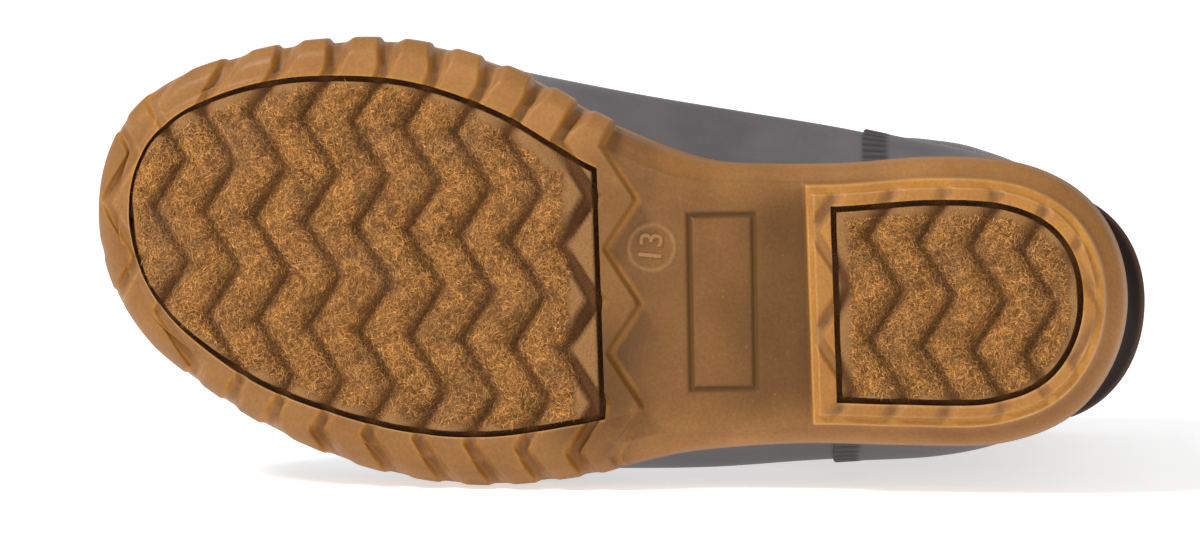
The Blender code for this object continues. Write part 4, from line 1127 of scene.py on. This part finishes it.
# %% Shell with walking creases
SHELL_WALL, CREASE_WIDTH = 2.2, 0.022
# Each crease: level at its middle, half length as a turn, tilt, depth in millimetres.
VAMP_CREASES = ((0.335, 0.62, 0.03, 0.9), (0.385, 0.75, -0.02, 0.7),
                (0.285, 0.45, 0.02, 0.45), (0.435, 0.5, 0.03, 0.4))


def turned_from(turn, middle):
    """Turn from a middle, between minus and plus half a turn."""
    return np.angle(np.exp(1j * (turn - middle)))


def crease(level, turn, middle, length, tilt, depth):
    """A soft trough with a low ridge beside it, across the front of the foot."""
    sideways = turned_from(turn, 0)
    off = (level - middle - tilt * sideways) / CREASE_WIDTH
    ridges = 0.55 * bell(off - 1.6, 1) + 0.3 * bell(off + 1.6, 1)
    return depth * bell(sideways, length) * (bell(off, 1) - ridges)


round_turns = np.linspace(0, 2 * np.pi, 301)[:-1]
levels = np.concatenate([[0, 0.05], np.linspace(0.10, 0.48, 50)])
grid = np.meshgrid(levels, round_turns, indexing="ij")
creases = sum(crease(*grid, *line) for line in VAMP_CREASES)
outer = skin(*grid, creases + 0.35 * ease(0.462, 0.48, grid[0]))
inner = skin(*grid, SHELL_WALL)
sheet_wall("shell", outer, inner, shell_rubber, ("foot_shell",), wraps=True)

# %% [markdown]
# ## The heel counter and its kick lug
#
# A stiffer layer is moulded over the heel. Its front edge on each side is a strip with fine ribs, and a
# black ledge crosses its back, which the other foot steps on to pull the boot off.

# %% Counter and kick lug
STRIP_FRONT, STRIP_BACK, RIB_PITCH = 0.653, 0.684, 1.9
strip_turns = np.linspace(STRIP_FRONT, STRIP_BACK, 24)[:-1]
heel_turns = np.linspace(STRIP_BACK, 2 - STRIP_BACK, 90)
turns = np.pi * np.concatenate([strip_turns, heel_turns, 2 - strip_turns[::-1]])
level, turn = np.meshgrid(np.linspace(0.117, 0.388, 92), turns, indexing="ij")
from_heel = np.abs(1 - turn / np.pi)
on_strip = ease(0.326, 0.332, from_heel)
ribs = 0.5 + 0.5 * np.cos(2 * np.pi * level * BOOT_HEIGHT / RIB_PITCH)
proud = CLEARANCE + 0.9 - 0.5 * ease(0.27, 0.33, from_heel) + on_strip * (0.1 - 0.3 * ribs)
# The strip mask paints shade on the ribbed strip, most in the hollows between its ribs.
sheet_wall("counter", skin(level, turn, -proud - 0.12 * ease(0.37, 0.388, level)),
           skin(level, turn, -CLEARANCE), shell_rubber, ("heel_counter",),
           masks={"strip": on_strip * (0.55 + 0.45 * ribs)})

KICK_HALF, KICK_LOW, KICK_TALL, KICK_ROOT, KICK_REACH = 0.135, 0.225, 0.09, 1.5, 6.0
turns = np.pi * np.linspace(1 - KICK_HALF, 1 + KICK_HALF, 81)
level, turn = np.meshgrid(np.linspace(KICK_LOW, KICK_LOW + KICK_TALL, 26), turns, indexing="ij")
edge = np.abs(1 - turn / np.pi) / KICK_HALF
crown = 0.55 + 0.45 * np.sin(np.pi * np.clip((level - KICK_LOW) / KICK_TALL, 0, 1)) ** 0.45
sloped = 0.45 + 0.55 * ease(KICK_LOW, 0.275, level)
proud = KICK_ROOT + KICK_REACH * (1 - 0.55 * edge ** 3) * sloped * crown
sheet_wall("kick_lug", skin(level, turn, -proud), skin(level, turn, -KICK_ROOT), black_rubber,
           ("heel_kick",), round_edge=0.2, masks={"brown": ease(0.252, 0.262, level)})

# %% [markdown]
# ## The leather leg
#
# The shaft stands inside the shell's top edge and folds where the ankle bends. Eyestays, a backstay and
# the tongue are separate cuts of the same hide, each a sheet with its own thickness and rounded edge.


# %% Ankle folds and the shaft
# Each fold: turn of its middle, level there, tilt, depth in millimetres.
ANKLE_FOLDS = ((np.pi, 0.60, 0.03, 0.55), (np.pi, 0.67, -0.02, 0.45), (1.25, 0.585, -0.05, 0.6),
               (-1.25, 0.590, 0.05, 0.6), (1.25, 0.655, -0.04, 0.4), (-1.25, 0.66, 0.04, 0.45))


def ankle_folds(level, turn):
    """Soft folds of the leg where the ankle bends, deepest behind the ankle bones."""
    sunk = 0.0
    for middle, height, tilt, depth in ANKLE_FOLDS:
        where = turned_from(turn, middle)
        off = (level - height - tilt * where) / 0.02
        sunk = sunk + depth * bell(where, 0.55) * (bell(off, 1) - 0.5 * bell(np.abs(off) - 1.7, 1))
    return sunk


def strip_grid(levels, first, last, count):
    """Levels and turns of a sheet whose ends may change with the level."""
    start, end = (np.broadcast_to(v, np.shape(levels))[:, None] for v in (first, last))
    turns = mix(start, end, np.linspace(0, 1, count)[None])
    return np.broadcast_to(levels[:, None], turns.shape), turns


def cut_piece(name, grid, outer, inner, node, hide):
    """A cut of leather between two depths in the skin."""
    return sheet_wall(name, skin(*grid, outer), skin(*grid, inner), hide, (node,))


levels = np.linspace(0.44, 0.92, 58)
edge_turn = throat_edge(levels)
grid = strip_grid(levels, edge_turn, 2 * np.pi - edge_turn, 200)
folds = np.maximum(ankle_folds(*grid) * ease(0.50, 0.54, grid[0]), -0.25)
cut_piece("leg", grid, 2.5 + folds, 4.5, "shaft", leather)

# %% Tongue, eyestays and backstay
levels = np.linspace(0.40, 1.04, 80)
edge_turn = throat_edge(levels, 5.0)
grid = strip_grid(levels, -edge_turn, edge_turn, 40)
pad = 0.25 * np.cos(np.clip(grid[1] / edge_turn[:, None], -1, 1) * np.pi / 2)
cut_piece("tongue_leather", grid, 5.15 - pad, 7.8, "tongue", leather)
FACING_START, FACING_END, FACING_DEPTH, BACKSTAY_HALF = 0.8, 10.5, 2.2, 0.17
levels = np.linspace(0.485, 0.915, 60)
inner_edge, outer_edge = throat_edge(levels, FACING_START), throat_edge(levels, FACING_END)
for side, word in ((1, "lateral"), (-1, "medial")):
    grid = strip_grid(levels, side * inner_edge, side * outer_edge, 22)
    cut_piece(f"facing_{word}", grid, 1.0, FACING_DEPTH, f"eyestay_{word}", dark_leather)
grid = strip_grid(levels, np.pi * (1 - BACKSTAY_HALF), np.pi * (1 + BACKSTAY_HALF), 40)
cut_piece("back_strip", grid, 1.1, FACING_DEPTH, "backstay", dark_leather)

# %% [markdown]
# ## The collar
#
# The collar is foam under a soft fabric, stitched down along its lower edge. It is fullest in its middle
# and pulls in at the stitching, and small gathers cross it. It is modelled directly as a crowned sheet,
# since it is too narrow for a cloth simulation to add a form that these lines don't.


# %% Collar fabric and collar
def woven(tree, axes, how, **yarn):
    """Two sets of bands that cross, as yarns do."""
    place = add(tree, "TexCoord").outputs["Object"]
    first, second = (add(tree, "TexWave", {"Vector": place, **yarn}, bands_direction=axis).outputs["Fac"]
                     for axis in axes)
    return add(tree, "Math", {0: first, 1: second}, operation=how).outputs["Value"]


def collar_material():
    material, tree = blank_material("collar_fabric", Roughness=0.85, Sheen_Weight=0.3, Sheen_Roughness=0.5)
    weave = woven(tree, ("X", "Z"), "MULTIPLY", Scale=450.0, Distortion=0.6, Detail=1.0)
    patches, _, normal = grained(tree, 60, 2400, 0.3, 0.0002)
    bump = add(tree, "Bump", {"Height": weave, "Strength": 0.5, "Distance": 0.0003, "Normal": normal})
    colour = blended(tree, weave, (0.030, 0.022, 0.018), (0.075, 0.056, 0.045))
    colour = blended(tree, ramp(tree, patches, 0.35, 0.8), colour, (0.065, 0.050, 0.042))
    return finished(material, colour, bump.outputs["Normal"])


collar_fabric = collar_material()
COLLAR_LOW, COLLAR_TOP = 0.922, 1.0
levels = np.linspace(COLLAR_LOW, COLLAR_TOP, 26)
edge_turn = throat_edge(levels)
level, turn = strip_grid(levels, edge_turn, 2 * np.pi - edge_turn, 260)
from_middle = (2 * level - COLLAR_LOW - COLLAR_TOP) / (COLLAR_TOP - COLLAR_LOW)
crown = np.sqrt(np.maximum(0, 1 - from_middle ** 2))
gathers = 0.14 * np.sin(turn * 46 + 1.5 * np.sin(turn * 5)) * (1 - crown) + 0.10 * np.sin(turn * 23 + 1)
collar = sheet_wall("collar_pad", skin(level, turn, 2.5 - 1.75 * crown + gathers * 0.6),
                    skin(level, turn, 4.5 + 0.2 * crown), collar_fabric, ("collar",))

# %% [markdown]
# ## The insole
#
# A flat bed lies on the cup's floor and is seen only through the collar. Its fabric is a short fleece.


# %% Lining fabric and insole
def lining_material():
    material, tree = blank_material("fleece_lining", Roughness=0.95, Sheen_Weight=0.4, Sheen_Roughness=0.6)
    patches, grain, normal = grained(tree, 120, 2200, 0.9, 0.0006)
    colour = blended(tree, ramp(tree, grain, 0.35, 0.7), (0.055, 0.043, 0.034), (0.15, 0.12, 0.095))
    colour = blended(tree, ramp(tree, patches, 0.3, 0.8), colour, (0.11, 0.088, 0.07))
    return finished(material, colour, normal)


lining = lining_material()
INSOLE_THICK, INSOLE_SHARES = 3.0, (0.0, 0.3, 0.6, 0.85, 0.96, 1.0)
bed_edge = skin(0.0, round_turns, 2.8)
middle = bed_edge.copy()
middle[:, 1] = (bed_edge[:, 1] + np.roll(bed_edge[::-1, 1], 1)) / 2
lower = [mix(middle, bed_edge, share) for share in INSOLE_SHARES]
upper = [mix(middle, bed_edge, share) + (0, 0, INSOLE_THICK - 0.5 * (share == 1)) for share in INSOLE_SHARES]
laid_grid("insole_bed", np.array(lower + upper[::-1]), lining, ("insole",), closed_columns=True)

# %% [markdown]
# ## Eyelets and lace
#
# An eyelet is a rolled brass ring, made by spinning a small round profile once round its axis. The lace
# is a braided cord. It crosses from side to side, dips into each eyelet, and stops at the top pair.


# %% Brass and braid
def brass_material():
    material, tree = blank_material("aged_brass", Metallic=1.0)
    patches, _, normal = grained(tree, 400, 2500, 0.2, 0.0001)
    colour = blended(tree, ramp(tree, patches, 0.35, 0.7), (0.30, 0.21, 0.12), (0.16, 0.11, 0.07))
    return finished(material, colour, normal, (patches, 0.25, 0.5))


def braid_material():
    material, tree = blank_material("lace_braid", Roughness=0.8, Sheen_Weight=0.2)
    braid = woven(tree, ("DIAGONAL", "Y"), "MAXIMUM", Scale=330.0, Distortion=0.3)
    patches, _, normal = grained(tree, 200, 3000, 0.3, 0.0002)
    bump = add(tree, "Bump", {"Height": braid, "Strength": 0.6, "Distance": 0.0003, "Normal": normal})
    colour = blended(tree, braid, (0.065, 0.038, 0.020), (0.19, 0.115, 0.062))
    colour = blended(tree, ramp(tree, patches, 0.5, 0.8), colour, (0.25, 0.17, 0.10))
    return finished(material, colour, bump.outputs["Normal"])


brass, braid = brass_material(), braid_material()
eyelet_levels = np.linspace(0.56, 0.88, 4)
eyelet_turns = throat_edge(eyelet_levels, 5.05)
print("eyelet turns:", eyelet_turns.round(3))


# %% Spun eyelets
EYELET_RADIUS, EYELET_WIRE, EYELET_DEPTH = 2.6, 0.65, -0.25


def eyelet_mesh(name, level, turn):
    """A ring spun from a round profile, set on the facing with its axis outwards."""
    work = bmesh.new()
    made = bmesh.ops.create_circle(work, segments=10, radius=EYELET_WIRE, cap_ends=False)
    bmesh.ops.rotate(work, verts=made["verts"], cent=(0, 0, 0), matrix=Matrix.Rotation(np.pi / 2, 3, "X"))
    bmesh.ops.translate(work, verts=made["verts"], vec=(EYELET_RADIUS, 0, 0))
    bmesh.ops.spin(work, geom=work.verts[:] + work.edges[:], cent=(0, 0, 0), axis=(0, 0, 1), angle=2 * np.pi,
                   steps=28, use_merge=True)
    bmesh.ops.scale(work, verts=work.verts[:], vec=(1, 1, 0.85))
    mesh = bpy.data.meshes.new(name)
    work.to_mesh(mesh)
    work.free()
    outward = Vector(skin(level, turn, -1.0) - skin(level, turn, 1.0)).normalized()
    turned = np.array(outward.to_track_quat("Z", "Y").to_matrix())
    move_corners(mesh, corner_places(mesh) @ turned.T + skin(level, turn, EYELET_DEPTH))
    face_out(mesh)
    return mesh


for number, (level, turn) in enumerate(zip(eyelet_levels, eyelet_turns), 1):
    for side, word in ((1, "lateral"), (-1, "medial")):
        node = f"eyelet_{word}_{number}"
        piece_from_mesh("ring_" + node, eyelet_mesh(node, level, side * turn), brass, (node,))
print("eyelets:", 2 * len(eyelet_levels))


# %% Lace crossings
LACE_RADIUS, LACE_DEPTH, EYELET_DIP = 1.1, -2.6, 2.6


def cord_along(path, sides=12):
    """Closed round cord along a path, as a grid wrapped round it and drawn to a point at both ends."""
    ahead = unit(np.gradient(path, axis=0))
    up = unit(np.cross(ahead, np.array([0, 1.0, 0])))
    sideways = np.cross(up, ahead)
    turn = np.linspace(0, 2 * np.pi, sides + 1)[:-1, None]
    radius = np.full(len(path), LACE_RADIUS)
    radius[[0, -1]] = 1e-4
    round_it = np.cos(turn) * up[:, None] + np.sin(turn) * sideways[:, None]
    return path[:, None] + radius[:, None, None] * round_it


def crossing(start, end, depth):
    """Path from one eyelet to another, dipping into both."""
    share = np.linspace(0, 1, 33)
    level, turn = mix(start[0], end[0], share), mix(start[1], end[1], share)
    return skin(level, turn, depth + EYELET_DIP * (bell(share, 0.035) + bell(share - 1, 0.035)))


lateral_eyelets = list(zip(eyelet_levels, eyelet_turns))
medial_eyelets = list(zip(eyelet_levels, -eyelet_turns))
runs = [crossing(lateral_eyelets[0], medial_eyelets[0], LACE_DEPTH + 0.5)]
for low, high in ((0, 1), (1, 2), (2, 3)):
    runs.append(crossing(lateral_eyelets[low], medial_eyelets[high], LACE_DEPTH + 0.9))
    runs.append(crossing(medial_eyelets[low], lateral_eyelets[high], LACE_DEPTH - 0.9))
for number, path in enumerate(runs, 1):
    laid_grid(f"lace_run_{number}", cord_along(path), braid, ("lace",), closed_columns=True)

# %% [markdown]
# ## Stitching
#
# Waxed thread edges the facings, backstay and collar in rows. Each stitch is a small rounded capsule sunk
# into the leather; one shape is copied along every seam.


# %% Stitches along seams
STITCH_PITCH, STITCH_LENGTH, THREAD_RADIUS = 2.4, 1.7, 0.32


def thread_material():
    material, tree = blank_material("waxed_thread", Roughness=0.6)
    patches, _, normal = grained(tree, 800, 4000, 0.5, 0.0001)
    return finished(material, blended(tree, patches, (0.24, 0.15, 0.075), (0.40, 0.28, 0.15)), normal)


thread = thread_material()
capsule, capsule_faces = small_shape(
    lambda work: bmesh.ops.create_uvsphere(work, u_segments=6, v_segments=4, radius=1))


def seam(level, turn, depth):
    """Stitches evenly spaced along a line on the skin."""
    line = skin(level, turn, depth)
    walked = np.concatenate([[0], np.cumsum(np.linalg.norm(np.diff(line, axis=0), axis=1))])
    at = np.arange(STITCH_PITCH / 2, walked[-1], STITCH_PITCH)
    before, middle, after = (np.stack([np.interp(at + moved, walked, line[:, k]) for k in range(3)], -1)
                             for moved in (-0.4, 0, 0.4))
    along = unit(after - before)
    level, turn = (np.interp(at, walked, np.broadcast_to(v, len(line))) for v in (level, turn))
    out = skin(level, turn, depth - 1.0) - skin(level, turn, depth)
    side = np.cross(out, along)
    across_it, through_it, along_it = (capsule[None, :, k:k + 1] for k in range(3))
    places = middle[:, None] + along_it * (STITCH_LENGTH / 2) * along[:, None]
    return places + across_it * THREAD_RADIUS * side[:, None] + through_it * THREAD_RADIUS * out[:, None]


front = throat_edge(0.9, 12)[0]
seams = [seam(np.full(500, 0.903), np.linspace(front, 2 * np.pi - front, 500), 2.45)]
rise = np.linspace(0.50, 0.90, 200)
for side in (1, -1):
    seams += [seam(rise, side * throat_edge(rise, extra), 0.95) for extra in (1.8, 9.3)]
    seams += [seam(rise, np.pi + side * np.pi * share, 1.05) for share in (0.158, 0.145)]
seams = np.concatenate(seams)
stitch_mesh = joined_copies("leg_stitches", seams, capsule_faces, np.full(len(seams), 0.5))
piece_from_mesh("leg_stitches", stitch_mesh, thread, ())

# %% [markdown]
# ## Floor, light and camera
#
# The boot was photographed on white under soft light. A white floor that curves up behind it gives no
# horizon, two broad lights and a bright sky give soft shadows, and a long lens from the sole's side
# keeps the boot's proportions.


# %% The floor
def floor_material():
    material, tree = blank_material("studio_floor", Roughness=0.9, Emission_Strength=0.58)
    patches, _, _ = grained(tree, 3, 60, 0.02)
    return finished(material, blended(tree, patches, (0.82, 0.82, 0.82), (0.85, 0.85, 0.85)))


def sweep_floor():
    """A sheet that runs level under the boot and curves up far behind it, behind any camera there too."""
    front, level_end, radius, length, width, sunk = -10.0, 8.0, 1.2, 22.0, 24, 0.0002
    work = bmesh.new()
    bmesh.ops.create_grid(work, x_segments=2, y_segments=160, size=0.5)
    for vert in work.verts:
        along = (vert.co.y + 0.5) * length + front
        bend = max(0.0, along - level_end)
        turned = min(bend / radius, np.pi / 2)
        upright = max(0.0, bend - radius * np.pi / 2)
        vert.co = (vert.co.x * width, min(along, level_end) + radius * np.sin(turned),
                   radius * (1 - np.cos(turned)) + upright - sunk)
    mesh = bpy.data.meshes.new("floor")
    work.to_mesh(mesh)
    work.free()
    floor = bpy.data.objects.new("floor", mesh)
    bpy.context.scene.collection.objects.link(floor)
    mesh.materials.append(floor_material())
    for face in mesh.polygons:
        face.use_smooth = True


sweep_floor()


# %% Lights
def broad_light(name, place, aim, size, power):
    light = bpy.data.lights.new(name, "AREA")
    light.shape, light.size, light.energy = "SQUARE", size, power
    holder = bpy.data.objects.new(name, light)
    holder.location = place
    holder.rotation_euler = (Vector(aim) - Vector(place)).to_track_quat("-Z", "Y").to_euler()
    bpy.context.scene.collection.objects.link(holder)


world = bpy.data.worlds.new("bright_studio")
world.use_nodes = True
sky = world.node_tree.nodes["Background"].inputs
sky["Color"].default_value, sky["Strength"].default_value = (1, 1, 1, 1), 0.43
bpy.context.scene.world = world
BOOT_MIDDLE = (0, 0, 0.04)
broad_light("key_light", (-0.95, -0.85, 1.35), BOOT_MIDDLE, 0.55, 30)
broad_light("fill_light", (0.9, -1.5, 0.5), BOOT_MIDDLE, 1.2, 4)
print("lights: 2 and the sky")

# %% The camera
view_azimuth, view_elevation, view_roll = np.radians([4.5, 4.5, 0.434])
distance, sensor, focal_length = 2.20, 36.0, 313.1
photo_width, photo_middle, aim_pixel = 1200, (600, 269), (606.1, 259.5)
aim = Vector(placed([SOLE_LENGTH / 2, 0, 0]))
away = Vector((np.sin(view_azimuth) * np.cos(view_elevation), -np.cos(view_azimuth) * np.cos(view_elevation),
               np.sin(view_elevation)))
camera = bpy.data.objects.new("camera", bpy.data.cameras.new("camera"))
camera.data.sensor_width, camera.data.lens = sensor, focal_length
camera.location = aim + away * distance
turned = (-away).to_track_quat("-Z", "Y").to_matrix() @ Matrix.Rotation(view_roll, 3, "Z")
camera.rotation_euler = turned.to_euler()
camera.data.shift_x = (photo_middle[0] - aim_pixel[0]) / photo_width
camera.data.shift_y = (aim_pixel[1] - photo_middle[1]) / photo_width
bpy.context.scene.collection.objects.link(camera)
bpy.context.scene.camera = camera
bpy.context.scene.view_settings.view_transform = "Standard"
print("camera at", [round(v, 3) for v in camera.location])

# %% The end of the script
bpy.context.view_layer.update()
